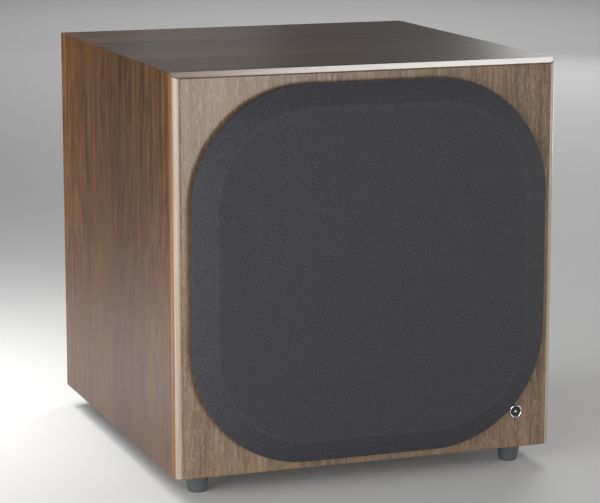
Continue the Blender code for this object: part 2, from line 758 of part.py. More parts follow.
def make_amp_plate(finish, cabinet):
    """The amplifier's plate, with a hole for each control and socket, on its foam seal."""
    bm = bmesh.new()
    rounded_slab(bm, AMP_WIDTH, AMP_HEIGHT, AMP_RADIUS, PLATE_FRONT, PLATE_BACK)
    plate = add("amp_plate", bm, finish["amp_paint"], cabinet)
    front = PLATE_FRONT - 0.01
    back = PLATE_BACK + 0.01
    holes = bmesh.new()
    for (x, up), radius in (
        (GAIN_AT, 0.0049),
        (CROSSOVER_AT, 0.0049),
        (RCA_LEFT_AT, 0.0045),
        (RCA_RIGHT_AT, 0.0045),
        (TRIGGER_AT, 0.0040),
        (LED_AT, 0.0019),
    ):
        rod(holes, x, CENTRE_Z + up, radius, front, back)
    for (x, up), width, height in (
        (PHASE_AT, 2 * TOGGLE_TRAVEL + 0.005, 0.0046),
        (AUTO_AT, 2 * TOGGLE_TRAVEL + 0.005, 0.0046),
        (EQ_AT, 2 * EQ_TRAVEL + 0.005, 0.0046),
        (POWER_AT, 0.0196, 0.0216),
        (INLET_AT, 0.0276, 0.0336),
    ):
        slab(holes, width, height, front, back, x, CENTRE_Z + up)
    boolean(plate, tool("plate_holes", holes))

    bm = bmesh.new()
    seal_front = PANEL_BACK + GAP
    rings = []
    for inset, depth in ((0.0005, 0), (0.0005, SEAL), (AMP_LAP - 0.001, SEAL), (AMP_LAP - 0.001, 0)):
        outline = rounded_ring(AMP_WIDTH - 2 * inset, AMP_HEIGHT - 2 * inset, AMP_RADIUS - inset / 3)
        rings.append([(x, FRONT_Y + seal_front + depth, CENTRE_Z + up) for x, up in outline])
    loft(bm, rings, closed=True)
    add("amp_seal", bm, finish["black_rubber"], cabinet)


def make_electronics(finish, cabinet):
    """The circuit board, its finned heat sink, and the ring transformer on the plate."""
    bm = bmesh.new()
    slab(bm, 0.164, 0.118, CIRCUIT_FRONT, CIRCUIT_BACK, 0, CENTRE_Z + 0.049)
    add("circuit_board", bm, finish["circuit"], cabinet)

    base = CIRCUIT_FRONT - GAP
    root = base - 0.005
    tip = base - 0.026
    fin_count = 9
    pitch = 0.012
    fin = 0.002
    half = (pitch * (fin_count - 1) + fin) / 2
    outline = [(-half, base)]
    for number in range(fin_count):
        left = -half + number * pitch
        outline += [(left, root), (left, tip), (left + fin, tip), (left + fin, root)]
    outline = [outline[0]] + outline[2:-1] + [(half, base)]
    bm = bmesh.new()
    rings = [[(x, FRONT_Y + depth, CENTRE_Z + up) for x, depth in outline] for up in (0.055, 0.100)]
    loft(bm, rings)
    add("heat_sink", bm, finish["bare_aluminium"], cabinet)

    x, up = TRANSFORMER_AT
    place = (x, FRONT_Y + PLATE_FRONT - GAP, CENTRE_Z + up)
    outer = TRANSFORMER_RADIUS
    inner = 0.013
    round_off = 0.006
    ring = [
        (inner, round_off),
        (inner + round_off, 0),
        (outer - round_off, 0),
        (outer, round_off),
        (outer, TRANSFORMER_HEIGHT - round_off),
        (outer - round_off, TRANSFORMER_HEIGHT),
        (inner + round_off, TRANSFORMER_HEIGHT),
        (inner, TRANSFORMER_HEIGHT - round_off),
    ]
    turned("transformer", ring, finish["copper"], cabinet, place, steps=32)


def make_rotary(finish, cabinet, name, at):
    """A potentiometer behind the plate, and the knob that turns in its bush."""
    x, up = at
    z = CENTRE_Z + up
    carrier = group(name + "_control", x, KNOB_FRONT, z)
    bore = SHAFT_RADIUS + 0.0004
    body_back = PLATE_FRONT - GAP - CIRCUIT_BACK - GAP
    pot = [
        (0, 0),
        (0.008, 0),
        (0.008, body_back),
        (0.0045, body_back),
        (0.0045, PLATE_BACK - CIRCUIT_BACK - GAP),
        (bore, PLATE_BACK - CIRCUIT_BACK - GAP),
        (bore, 0.004),
        (0, 0.004),
    ]
    place = (x, FRONT_Y + CIRCUIT_BACK + GAP, z)
    turned(name + "_pot", pot, finish["bare_aluminium"], cabinet, place, BACKWARDS, SMALL_STEPS)
    knob = [
        (0, -0.010),
        (SHAFT_RADIUS, -0.010),
        (SHAFT_RADIUS, 0),
        (KNOB_RADIUS, 0),
        (KNOB_RADIUS - 0.0006, KNOB_HEIGHT - 0.001),
        (KNOB_RADIUS - 0.0016, KNOB_HEIGHT),
        (0, KNOB_HEIGHT),
    ]
    place = (x, FRONT_Y + KNOB_FRONT, z)
    made = turned(name + "_knob", knob, finish["black_plastic"], carrier, place, BACKWARDS, SMALL_STEPS)
    notch = bmesh.new()
    slab(notch, 0.0014, 0.008, KNOB_BACK - 0.0006, KNOB_BACK + 0.004, x, z + KNOB_RADIUS - 0.0030)
    boolean(made, tool(name + "_pointer", notch))


def make_slider(finish, cabinet, name, at, low, high):
    """A slide switch behind the plate, and the lever that moves along it between two limits."""
    x, up = at
    z = CENTRE_Z + up
    carrier = group(name + "_control", x, PLATE_BACK, z)
    lever_half = 0.0020
    bm = bmesh.new()
    slab(bm, high - low + 0.012, 0.008, CIRCUIT_BACK + GAP, PLATE_FRONT - GAP, x + (low + high) / 2, z)
    housing = add(name + "_switch", bm, finish["black_plastic"], cabinet)
    pocket = bmesh.new()
    slot_width = high - low + 2 * lever_half + 0.0008
    slab(pocket, slot_width, 0.0044, PLATE_FRONT - 0.006, PLATE_FRONT + 0.01, x + (low + high) / 2, z)
    boolean(housing, tool(name + "_pocket", pocket))
    bm = bmesh.new()
    size = (2 * lever_half, 0.0036)
    front = PLATE_FRONT - 0.0055 - PLATE_BACK
    back = 0.0026
    block(bm, (-size[0] / 2, front, -size[1] / 2), (size[0] / 2, back, size[1] / 2))
    add(name + "_lever", bm, finish["white_insert"], carrier, (x, FRONT_Y + PLATE_BACK, z))


def make_power_switch(finish, cabinet):
    """The mains rocker in its bezel. It rests tipped to one side."""
    x, up = POWER_AT
    z = CENTRE_Z + up
    pivot_depth = PLATE_BACK - 0.002
    carrier = group("power_control", x, pivot_depth, z)
    bm = bmesh.new()
    slab(bm, 0.0190, 0.0210, PLATE_BACK - 0.018, PLATE_BACK + 0.001, x, z)
    housing = add("power_switch", bm, finish["black_plastic"], cabinet)
    bezel = bmesh.new()
    slab(bezel, 0.0230, 0.0250, PLATE_BACK + GAP, PLATE_BACK + 0.0018, x, z)
    boolean(housing, tool("power_bezel", bezel), "UNION")
    pocket = bmesh.new()
    slab(pocket, 0.0150, 0.0178, PLATE_BACK - 0.009, PLATE_BACK + 0.01, x, z)
    boolean(housing, tool("power_pocket", pocket))
    end = 0.0080
    outline = [(-end, 0.0048), (-end, -0.0012), (0, -0.0040), (end, -0.0012), (end, 0.0048), (0, 0.0030)]
    half = 0.0070
    bm = bmesh.new()
    loft(bm, [[(side * half, out, rise) for rise, out in outline] for side in (-1, 1)])
    place = (x, FRONT_Y + pivot_depth, z)
    add("power_rocker", bm, finish["black_plastic"], carrier, place, (-ROCKER_TILT, 0, 0))


def make_inlet(finish, cabinet):
    """The mains inlet with its three blades, and the fuse drawer under it."""
    x, up = INLET_AT
    z = CENTRE_Z + up
    bm = bmesh.new()
    slab(bm, 0.0270, 0.0330, PLATE_BACK - 0.026, PLATE_BACK + 0.001, x, z)
    housing = add("mains_inlet", bm, finish["black_plastic"], cabinet)
    flange = bmesh.new()
    slab(flange, 0.0310, 0.0390, PLATE_BACK + GAP, PLATE_BACK + 0.0028, x, z)
    boolean(housing, tool("inlet_flange", flange), "UNION")
    socket_z = z + 0.0058
    drawer_z = z - 0.0105
    pockets = bmesh.new()
    slab(pockets, 0.0240, 0.0160, PLATE_BACK - 0.017, PLATE_BACK + 0.01, x, socket_z)
    slab(pockets, 0.0226, 0.0084, PLATE_BACK - 0.020, PLATE_BACK + 0.01, x, drawer_z)
    boolean(housing, tool("inlet_pockets", pockets))
    blades = bmesh.new()
    for across, rise in ((-0.007, 0), (0, 0.004), (0.007, 0)):
        slab(blades, 0.002, 0.004, PLATE_BACK - 0.018, PLATE_BACK - 0.003, x + across, socket_z + rise)
    boolean(housing, tool("inlet_blades", blades), "UNION")

    carrier = group("fuse_control", x, PLATE_BACK, drawer_z)
    bm = bmesh.new()
    block(bm, (-0.0110, -0.0196, -0.0039), (0.0110, 0.0034, 0.0039))
    drawer = add("fuse_drawer", bm, finish["black_plastic"], carrier, (x, FRONT_Y + PLATE_BACK, drawer_z))
    well = bmesh.new()
    slab(well, 0.0200, 0.0052, PLATE_BACK - 0.0180, PLATE_BACK - 0.0105, x, drawer_z + 0.0021)
    boolean(drawer, tool("fuse_well", well))


def make_sockets(finish, cabinet):
    """Two line sockets, the trigger jack and the status light, each turned about its own axis."""
    behind = PLATE_FRONT - GAP - CIRCUIT_BACK - GAP
    face = PLATE_BACK - CIRCUIT_BACK - GAP
    line = [
        (0, 0),
        (0.0060, 0),
        (0.0060, behind),
        (0.0041, behind),
        (0.0041, face + GAP),
        (0.0060, face + GAP),
        (0.0060, face + 0.0022),
        (0.00415, face + 0.0022),
        (0.00415, face + 0.0090),
        (0.0017, face + 0.0090),
        (0.0017, face + 0.0010),
        (0, face + 0.0010),
    ]
    jack = [
        (0, 0),
        (0.0055, 0),
        (0.0055, behind),
        (0.0036, behind),
        (0.0036, face + GAP),
        (0.0052, face + GAP),
        (0.0052, face + 0.0020),
        (0.0038, face + 0.0030),
        (0.0018, face + 0.0030),
        (0.0018, face - 0.010),
        (0, face - 0.010),
    ]
    lamp = [
        (0, 0),
        (0.0024, 0),
        (0.0024, behind),
        (0.0015, behind),
        (0.0015, face + 0.0004),
        (0.0010, face + 0.0012),
        (0, face + 0.0015),
    ]
    for name, at, outline, material in (
        ("line_socket_left", RCA_LEFT_AT, line, finish["white_insert"]),
        ("line_socket_right", RCA_RIGHT_AT, line, finish["red_insert"]),
        ("trigger_jack", TRIGGER_AT, jack, finish["black_plastic"]),
        ("status_light", LED_AT, lamp, finish["blue_lens"]),
    ):
        place = (at[0], FRONT_Y + CIRCUIT_BACK + GAP, CENTRE_Z + at[1])
        turned(name, outline, material, cabinet, place, BACKWARDS, SMALL_STEPS)


def build():
    clear_scene()
    finish = finishes()
    cabinet = group("cabinet")
    moving = group("cone_assembly", 0, 0, DRIVER_Z)
    grille = group("grille", 0, 0, DRIVER_Z)
    make_carcass(finish, cabinet)
    make_baffle(finish, cabinet)
    make_inner_boards(finish, cabinet)
    make_grille(finish, cabinet, grille)
    make_badge(finish, cabinet)
    make_feet(finish, cabinet)
    make_basket(finish, cabinet)
    make_moving_parts(finish, cabinet, moving)
    make_motor(finish, cabinet)
    make_lead(finish, cabinet)
    make_amp_plate(finish, cabinet)
    make_electronics(finish, cabinet)
    make_rotary(finish, cabinet, "gain", GAIN_AT)
    make_rotary(finish, cabinet, "crossover", CROSSOVER_AT)
    make_slider(finish, cabinet, "phase", PHASE_AT, 0, TOGGLE_TRAVEL)
    make_slider(finish, cabinet, "eq", EQ_AT, -EQ_TRAVEL, EQ_TRAVEL)
    make_slider(finish, cabinet, "auto", AUTO_AT, 0, TOGGLE_TRAVEL)
    make_power_switch(finish, cabinet)
    make_inlet(finish, cabinet)
    make_sockets(finish, cabinet)
    bpy.context.view_layer.update()


build()
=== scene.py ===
"""The looks of a compact powered subwoofer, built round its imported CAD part."""

import json
import math

import bmesh
import bpy
from mathutils import Matrix, Vector, noise


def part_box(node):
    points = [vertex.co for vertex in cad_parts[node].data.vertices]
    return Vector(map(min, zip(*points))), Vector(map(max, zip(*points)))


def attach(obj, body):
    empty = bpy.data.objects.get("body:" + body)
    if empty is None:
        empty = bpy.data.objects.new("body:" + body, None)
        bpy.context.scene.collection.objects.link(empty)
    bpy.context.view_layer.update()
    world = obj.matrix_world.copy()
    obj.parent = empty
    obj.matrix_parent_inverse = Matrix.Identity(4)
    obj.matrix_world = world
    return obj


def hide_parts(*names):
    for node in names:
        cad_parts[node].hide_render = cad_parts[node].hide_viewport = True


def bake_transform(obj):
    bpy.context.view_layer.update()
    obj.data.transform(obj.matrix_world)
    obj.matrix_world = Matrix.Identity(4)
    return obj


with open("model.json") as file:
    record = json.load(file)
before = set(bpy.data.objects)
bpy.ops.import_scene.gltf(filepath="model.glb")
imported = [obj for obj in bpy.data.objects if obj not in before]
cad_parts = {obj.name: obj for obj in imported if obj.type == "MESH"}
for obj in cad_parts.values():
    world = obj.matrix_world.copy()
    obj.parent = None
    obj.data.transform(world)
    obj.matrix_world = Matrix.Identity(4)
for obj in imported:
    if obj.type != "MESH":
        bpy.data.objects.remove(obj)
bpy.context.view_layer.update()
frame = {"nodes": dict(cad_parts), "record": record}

RECORD = frame["record"]
BODY_OF = {node: body for body, nodes in RECORD["behaviour"]["bodies"].items() for node in nodes}

# The cabinet, in metres, as the CAD part has it. LIP is how deep the baffle's edge is, and PLUG how far its
# back goes in between the boards.
BASE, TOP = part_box("front_baffle")[0].z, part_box("front_baffle")[1].z
FRONT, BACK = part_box("front_baffle")[0].y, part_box("top_panel")[1].y
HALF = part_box("front_baffle")[1].x
CENTRE_Z = (BASE + TOP) / 2
BOARD = 0.018
LIP = 0.0085
PLUG = 0.014
EDGE_RADIUS = 0.008
BEVEL_DROP = 0.0036
ARRIS = 0.0006
SEAM = 0.0003
EDGE_LINE = 0.0009
JOINT_LINE = 0.0007

# The grille: its width, height and corner radius, then its cloth, by height over the baffle and by inset from
# the edge.
GRILLE = (0.301, 0.303, 0.096)
GRILLE_WIDTH, GRILLE_HEIGHT, GRILLE_CORNER = GRILLE
DRIVER_Z = CENTRE_Z - 0.002
CLOTH_BACK = 0.0046
CLOTH_EDGE = 0.008
CLOTH_FRONT = 0.015
CLOTH_RIDGE = 0.019
CLOTH_TURN = 0.008
CUP_INSET = 0.0165

# The amplifier plate, and how far what stands on the circuit board reaches to its front and its back.
PLATE_FRONT, PLATE_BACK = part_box("amp_plate")[0].y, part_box("amp_plate")[1].y
CIRCUIT_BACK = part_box("circuit_board")[1].y
GAP = 0.0003
BEHIND = PLATE_FRONT - GAP - CIRCUIT_BACK - GAP
FACE = PLATE_BACK - CIRCUIT_BACK - GAP

# Places on the plate and on the circuit board in front of it, as (across, up) from the plate's middle.
KNOBS = {"gain": (0.045, 0.085), "crossover": (-0.045, 0.085)}
SLIDERS = {"phase": (0.052, 0.045), "eq": (0, 0.045), "auto": (-0.052, 0.045)}
LINE_SOCKETS = {"left": (0.052, 0.008), "right": (0.03, 0.008)}
JACK = (-0.04, 0.008)
LAMP = (0, 0.104)
ROCKER = (-0.048, -0.036)
INLET = (-0.048, -0.082)
TRANSFORMER = (0.042, -0.064)

FACING = {
    "front": Matrix.Rotation(math.pi / 2, 4, "X"),
    "back": Matrix.Rotation(-math.pi / 2, 4, "X"),
    "right": Matrix.Rotation(math.pi / 2, 4, "Y"),
    "up": Matrix.Identity(4),
}


# ---- Meshes ----


def fillet(points, radius, closed=False, bends=3):
    """A path with its corners rounded. An open path keeps its ends."""
    points = [Vector(point) for point in points]
    count = len(points)
    path = []
    for i, corner in enumerate(points):
        if not closed and i in (0, count - 1):
            path.append(corner)
            continue
        before = corner - points[i - 1]
        after = points[(i + 1) % count] - corner
        reach = min(radius, 0.45 * before.length, 0.45 * after.length)
        start = corner - before.normalized() * reach
        end = corner + after.normalized() * reach
        for step in range(bends + 1):
            t = step / bends
            path.append(start.lerp(corner, t).lerp(corner.lerp(end, t), t))
    return path


def placed(name, data):
    """Adds an object to the scene."""
    made = bpy.data.objects.new(name, data)
    bpy.context.scene.collection.objects.link(made)
    return made


def mesh_of(name, bm):
    """Ends a mesh under construction."""
    mesh = bpy.data.meshes.new(name)
    bm.to_mesh(mesh)
    bm.free()
    return mesh


def settle(made):
    """Applies an object's modifiers."""
    bpy.context.view_layer.update()
    graph = bpy.context.evaluated_depsgraph_get()
    mesh = bpy.data.meshes.new_from_object(made.evaluated_get(graph))
    made.modifiers.clear()
    made.data = mesh
    return mesh


def piece(name, bm, finishes, *nodes, body="cabinet", slot=None, smooth=38, weighted=True):
    """Makes a piece that stands for some CAD nodes, or else rides on a body.

    finishes holds one key of M or more, divided by spaces. slot is not used.
    """
    bmesh.ops.recalc_face_normals(bm, faces=bm.faces[:])
    made = placed(name, mesh_of(name, bm))
    for finish in finishes.split():
        made.data.materials.append(M[finish])
    polish(made, smooth, weighted)
    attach(made, BODY_OF[nodes[0]] if nodes else body)
    if nodes:
        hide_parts(*nodes)
    return made


def polish(made, smooth=38, weighted=True):
    """Smooth shading that breaks at sharp edges and keeps flat faces flat."""
    made.data.shade_smooth()
    made.data.set_sharp_from_angle(angle=math.radians(smooth))
    if weighted:
        modifier = made.modifiers.new("flat_faces", "WEIGHTED_NORMAL")
        modifier.keep_sharp = True


def spin(bm, outline, place, facing, steps, soften, bends):
    """Adds a turned solid: (radius, height) points, on the axis at both ends, or else a closed loop."""
    place = Matrix.Translation(place) @ FACING[facing]
    closed = outline[0][0] > 0
    path = fillet([(radius, 0, height) for radius, height in outline], soften, closed, bends)
    rings = []
    for point in path:
        count = 1 if point.x < 1e-7 else steps
        turns = [2 * math.pi * step / steps for step in range(count)]
        ring = [(point.x * math.cos(turn), point.x * math.sin(turn), point.z) for turn in turns]
        rings.append([bm.verts.new(place @ Vector(spot)) for spot in ring])
    pairs = list(zip(rings, rings[1:]))
    if closed:
        pairs.append((rings[-1], rings[0]))
    for first, second in pairs:
        for i in range(steps):
            j = (i + 1) % steps
            corners = [first[i % len(first)], first[j % len(first)]]
            corners += [second[j % len(second)], second[i % len(second)]]
            corners = list(dict.fromkeys(corners))
            if len(corners) > 2:
                bm.faces.new(corners)


def lathe(name, outline, place, facing, finish, *nodes, steps=96, soften=0.0003, bends=3, **ride):
    """A turned piece, by radius and by height from a place."""
    bm = bmesh.new()
    spin(bm, outline, place, facing, steps, soften, bends)
    return piece(name, bm, finish, *nodes, **ride)


def driver_lathe(name, outline, finish, *nodes, **more):
    """A turned part of the driver, by radius and by depth behind the baffle's face."""
    outline = [(radius, -depth) for radius, depth in outline]
    return lathe(name, outline, (0, FRONT, DRIVER_Z), "front", finish, *nodes, **more)


def loft(bm, rings, closed=False, caps=(True, True)):
    """Joins rings of points by faces, and fills the two ends."""
    loops = [[bm.verts.new(point) for point in ring] for ring in rings]
    pairs = list(zip(loops, loops[1:]))
    if closed:
        pairs.append((loops[-1], loops[0]))
    count = len(loops[0])
    for first, second in pairs:
        for i in range(count):
            j = (i + 1) % count
            bm.faces.new((first[i], first[j], second[j], second[i]))
    if not closed:
        for wanted, loop in zip(caps, (loops[0], loops[-1])):
            if wanted:
                bm.faces.new(loop)
    return loops


def soften_edges(bm, width, segments=2):
    """Rounds every edge that turns by more than 30 degrees."""
    bm.normal_update()
    least = math.radians(30)
    edges = [edge for edge in bm.edges if len(edge.link_faces) == 2 and edge.calc_face_angle(0) > least]
    bmesh.ops.bevel(bm, geom=edges, offset=width, offset_type="OFFSET", segments=segments, profile=0.5,
                    affect="EDGES", clamp_overlap=True)


def cuboid(bm, middle, size, width=0.0004):
    """Adds a box round a point, with rounded edges."""
    part = bmesh.new()
    bmesh.ops.create_cube(part, size=1, matrix=Matrix.Translation(middle) @ Matrix.Diagonal((*size, 1)))
    if width:
        soften_edges(part, width)
    join(bm, part)


def join(bm, part):
    """Adds one mesh under construction to another."""
    mesh = mesh_of("joined", part)
    bm.from_mesh(mesh)
    bpy.data.meshes.remove(mesh)


def ring_points(inset, width, height, radius, steps=24):
    """A rectangle with rounded corners, as (across, up)."""
    radius = max(radius - inset, 0.001)
    reach_x = width / 2 - inset - radius
    reach_z = height / 2 - inset - radius
    points = []
    for quarter in range(4):
        centre_x = reach_x if quarter in (0, 3) else -reach_x
        centre_z = reach_z if quarter in (0, 1) else -reach_z
        for step in range(steps + 1):
            turn = math.pi / 2 * (quarter + step / steps)
            points.append((centre_x + radius * math.cos(turn), centre_z + radius * math.sin(turn)))
    return points


def bore(bm, x, z, radius, front, back, steps=48):
    """Adds a plain round rod along Y."""
    rod = [(0, 0), (radius, 0), (radius, back - front), (0, back - front)]
    spin(bm, rod, (x, front, z), "back", steps, 0, 1)


def carve(made, *cuts):
    """Cuts or joins shapes, each (mesh under construction, operation, finish), and keeps the result."""
    shapes = []
    for bm, operation, finish in cuts:
        bmesh.ops.recalc_face_normals(bm, faces=bm.faces[:])
        shape = placed("shape", mesh_of("shape", bm))
        shape.data.materials.append(M[finish])
        shapes.append(shape)
        modifier = made.modifiers.new("carve", "BOOLEAN")
        modifier.object = shape
        modifier.operation = operation
        modifier.solver = "EXACT"
        modifier.material_mode = "TRANSFER"
    for modifier in list(made.modifiers):
        if modifier.type == "WEIGHTED_NORMAL":
            made.modifiers.remove(modifier)
    settle(made)
    for shape in shapes:
        bpy.data.objects.remove(shape)
    polish(made)


def edge_work(made, width):
    """Rounds the sharp edges of a finished mesh."""
    bm = bmesh.new()
    bm.from_mesh(made.data)
    bmesh.ops.remove_doubles(bm, verts=bm.verts[:], dist=1e-6)
    soften_edges(bm, width)
    bm.to_mesh(made.data)
    bm.free()
    made.modifiers.clear()
    polish(made)


def refined(name, node, finish, width=0.0004, segments=2):
    """The CAD node's own shape with its edges rounded."""
    bm = bmesh.new()
    bm.from_mesh(frame["nodes"][node].data)
    bmesh.ops.remove_doubles(bm, verts=bm.verts[:], dist=1e-6)
    bmesh.ops.dissolve_limit(bm, angle_limit=math.radians(1), verts=bm.verts[:], edges=bm.edges[:])
    if width:
        soften_edges(bm, width, segments)
    return piece(name, bm, finish, node)


# ---- Finishes ----


def srgb(red, green, blue):
    """A colour from its 0 to 255 display values."""
    shares = [value / 255 for value in (red, green, blue)]
    return (*((v / 12.92) if v <= 10 / 255 else ((v + 0.055) / 1.055) ** 2.4 for v in shares), 1)


class Finish:
    """A procedural material, with short calls for its nodes."""

    def __init__(self, name, colour, roughness=0.5, metallic=0.0, **inputs):
        self.material = bpy.data.materials.new(name)
        self.material.use_nodes = True
        self.nodes = self.material.node_tree.nodes
        self.links = self.material.node_tree.links
        self.shader = self.nodes["Principled BSDF"]
        self.colour = colour
        self.feed("Base Color", colour)
        self.feed("Roughness", roughness)
        self.feed("Metallic", metallic)
        for key, value in inputs.items():
            self.feed(key.replace("_", " "), value)
        self.material.diffuse_color = colour
        self.place = self.nodes.new("ShaderNodeTexCoord").outputs["Object"]
        self.normal = None

    def feed(self, name, value):
        self.plug(self.shader.inputs[name], value)

    def plug(self, socket, value):
        if isinstance(value, bpy.types.NodeSocket):
            self.links.new(value, socket)
        else:
            socket.default_value = value

    def add(self, kind, output, values, **settings):
        made = self.nodes.new("ShaderNode" + kind)
        for key, value in settings.items():
            setattr(made, key, value)
        for key, value in values.items():
            self.plug(made.inputs[key], value)
        return made.outputs[output]

    def scaled(self, scale, shift=(0, 0, 0)):
        return self.add("Mapping", 0, {"Vector": self.place, "Scale": scale, "Location": shift})

    def noise(self, vector, detail=2.0, rough=0.5, warp=0.0):
        values = {"Vector": vector, "Scale": 1.0, "Detail": detail, "Roughness": rough, "Distortion": warp}
        return self.add("TexNoise", "Fac", values)

    def maths(self, operation, a, b=0.0, c=0.0):
        return self.add("Math", 0, {0: a, 1: b, 2: c}, operation=operation)

    def span(self, value, low, high, to_low=0.0, to_high=1.0):
        """Maps a range to another, and holds its ends."""
        return self.add("MapRange", 0, {0: value, 1: low, 2: high, 3: to_low, 4: to_high})

    def mix(self, share, a, b, mode="MIX"):
        return self.add("Mix", 2, {0: share, 6: a, 7: b}, data_type="RGBA", blend_type=mode)

    def ramp(self, value, *stops):
        made = self.nodes.new("ShaderNodeValToRGB")
        self.plug(made.inputs[0], value)
        elements = made.color_ramp.elements
        while len(elements) < len(stops):
            elements.new(0.5)
        for element, (position, colour) in zip(elements, stops):
            element.position = position
            element.color = colour
        return made.outputs[0]

    def bump(self, height, distance, strength=1.0):
        values = {"Height": height, "Distance": distance, "Strength": strength}
        if self.normal is not None:
            values["Normal"] = self.normal
        self.normal = self.add("Bump", 0, values)
        self.feed("Normal", self.normal)

    def axis(self, number):
        return self.add("SeparateXYZ", number, {0: self.place})

    def wave(self, value, pitch):
        return self.maths("SINE", self.maths("MULTIPLY", value, 2 * math.pi / pitch))

    def weave(self, pitch):
        """The waves of threads that cross along X and Z."""
        return self.maths("MULTIPLY", self.wave(self.axis(0), pitch), self.wave(self.axis(2), pitch))

    def tint(self, level):
        """Multiplies the base colour by a level."""
        bright = self.add("CombineXYZ", 0, {0: level, 1: level, 2: level})
        self.feed("Base Color", self.mix(1.0, self.colour, bright, "MULTIPLY"))

    def mottle(self, scale, amount, detail):
        """Varies the base colour a little from place to place."""
        patches = self.noise(self.scaled((scale,) * 3), detail)
        self.tint(self.span(patches, 0.3, 0.7, 1 - amount, 1 + amount))

    def grainy(self, scale, distance, detail):
        self.bump(self.noise(self.scaled((scale,) * 3), detail, 0.6), distance)


def veneer(name, grain, tones, rough=0.36, gloss=0.4, weights=(0.2, 0.34, 0.46), ripple=0.15, fleck=0.2,
           pore=0.3, fine=(760, 0.15, 1100), seed=0.0, figure=()):
    """Satin walnut, with its grain along one axis.

    weights are the shares of broad bands, streaks and fine lines, and ripple is how far they wander. fleck
    and pore are how strong the pale flecks and dark pores are. fine holds the flecks' count per metre, their
    width over their length, and the pores' count. figure is a ramp of shades from the front to the back.
    """
    dark, middle, light, pale = tones
    finish = Finish(name, middle, rough, Specular_IOR_Level=gloss)

    def along(across, share):
        scale = [across] * 3
        scale[grain] = across * share
        return finish.scaled(scale, shift=(seed, seed * 0.7, seed * 1.3))

    bands = finish.noise(along(9, 0.06), 2.0, 0.5)
    streaks = finish.noise(along(85, 0.014), 3.0, 0.6, ripple)
    lines = finish.noise(along(420, 0.012), 3.0, 0.7, ripple)
    tone = finish.maths("MULTIPLY_ADD", bands, weights[0], (1 - sum(weights)) / 2)
    tone = finish.maths("MULTIPLY_ADD", streaks, weights[1], tone)
    tone = finish.maths("MULTIPLY_ADD", lines, weights[2], tone)
    colour = finish.ramp(tone, (0.4, dark), (0.5, middle), (0.6, light))
    flecks = finish.noise(along(fine[0], fine[1]), 2.0, 0.55, ripple * 1.5)
    colour = finish.mix(finish.span(flecks, 0.46, 0.66, 0.0, fleck), colour, pale)
    pores = finish.noise(along(fine[2], 0.035), 1.0, 0.5, ripple)
    colour = finish.mix(finish.span(pores, 0.54, 0.72, 0.0, pore), colour, dark)
    if figure:
        sway = finish.maths("MULTIPLY_ADD", bands, 0.06, finish.axis(1))
        shade = finish.ramp(finish.span(sway, FRONT + 0.03, BACK + 0.03), *figure)
        colour = finish.mix(1.0, colour, shade, "MULTIPLY")
    finish.feed("Base Color", colour)
    finish.feed("Roughness", finish.span(lines, 0.3, 0.7, rough - 0.03, rough + 0.05))
    finish.bump(pores, 0.00005, 0.4)
    finish.bump(lines, 0.00004, 0.3)
    return finish.material


def cloth_finish(name):
    """Stretched acoustic cloth: a fine plain weave, painted paler along the frame's ridge as a highlight."""
    finish = Finish(name, srgb(42, 42, 47), 0.62, Specular_IOR_Level=0.32, Sheen_Weight=0.06,
                    Sheen_Roughness=0.45)
    weave = finish.weave(0.00085)
    uneven = finish.noise(finish.scaled((620, 620, 620)), 2.0, 0.6)
    slub = finish.noise(finish.scaled((60, 60, 700)))
    level = finish.span(uneven, 0.3, 0.7, 0.62, 1.38)
    level = finish.maths("ADD", level, finish.maths("MULTIPLY", weave, 0.1))
    level = finish.maths("MULTIPLY", level, finish.span(slub, 0.3, 0.7, 0.95, 1.05))
    # The ridge mark lifts the cloth's colour along the frame's ridge: a painted highlight.
    ridge = finish.add("Attribute", "Fac", {}, attribute_name="ridge")
    finish.tint(finish.maths("ADD", level, finish.maths("MULTIPLY", ridge, 0.18)))
    finish.bump(weave, 0.00012, 0.6)
    finish.bump(uneven, 0.0001, 0.5)
    return finish.material


def moulded(name, colour, roughness, scale=2600, depth=0.00003, patches=(45, 0.06, 3.0), detail=2.0,
            **inputs):
    """A fine grain, by its scale and depth, over faint patches, by their scale, strength and detail."""
    finish = Finish(name, colour, roughness, **inputs)
    finish.mottle(*patches)
    finish.grainy(scale, depth, detail)
    return finish.material


def metal(name, colour, roughness, metallic=1.0, brushed=None, depth=0.00001):
    """A metal, brushed along one axis where that is given."""
    finish = Finish(name, colour, roughness, metallic)
    scale = [2200] * 3
    if brushed is not None:
        scale[brushed] = 40
    marks = finish.noise(finish.scaled(scale), 2.0, 0.6)
    finish.feed("Roughness", finish.span(marks, 0.3, 0.7, roughness * 0.85, roughness * 1.2))
    finish.bump(marks, depth, 0.6)
    return finish.material


def windings(name, colour, pitch):
    """Wire wound in rows along Y, painted darker between the turns as shade and paler on them as a highlight.
    """
    finish = Finish(name, colour, 0.35, 1.0)
    wave = finish.wave(finish.axis(1), pitch)
    # Painted shade between the turns and painted highlight on them.
    finish.tint(finish.span(wave, -1, 1, 0.55, 1.1))
    finish.bump(wave, 0.0001, 0.7)
    return finish.material


def wound_toroid(name, colour):
    """Varnished wire wound round the transformer's ring, so its turns run out from the ring's middle; they
    are painted darker between them as shade and paler on them as a highlight.
    """
    finish = Finish(name, colour, 0.35, 0.8, Coat_Weight=0.4, Coat_Roughness=0.2)
    x = finish.maths("SUBTRACT", finish.axis(0), TRANSFORMER[0])
    z = finish.maths("SUBTRACT", finish.axis(2), CENTRE_Z + TRANSFORMER[1])
    turn = finish.maths("ARCTAN2", z, x)
    wave = finish.wave(turn, 2 * math.pi / 150)
    # Painted shade between the turns and painted highlight on them.
    finish.tint(finish.span(wave, -1, 1, 0.5, 1.1))
    finish.bump(wave, 0.0004, 0.8)
    return finish.material


def fibreboard(name, colour, roughness=0.75):
    """Pressed wood fibre, bare or painted."""
    return moulded(name, colour, roughness, 1400, 0.00006, (380, 0.1, 4.0))


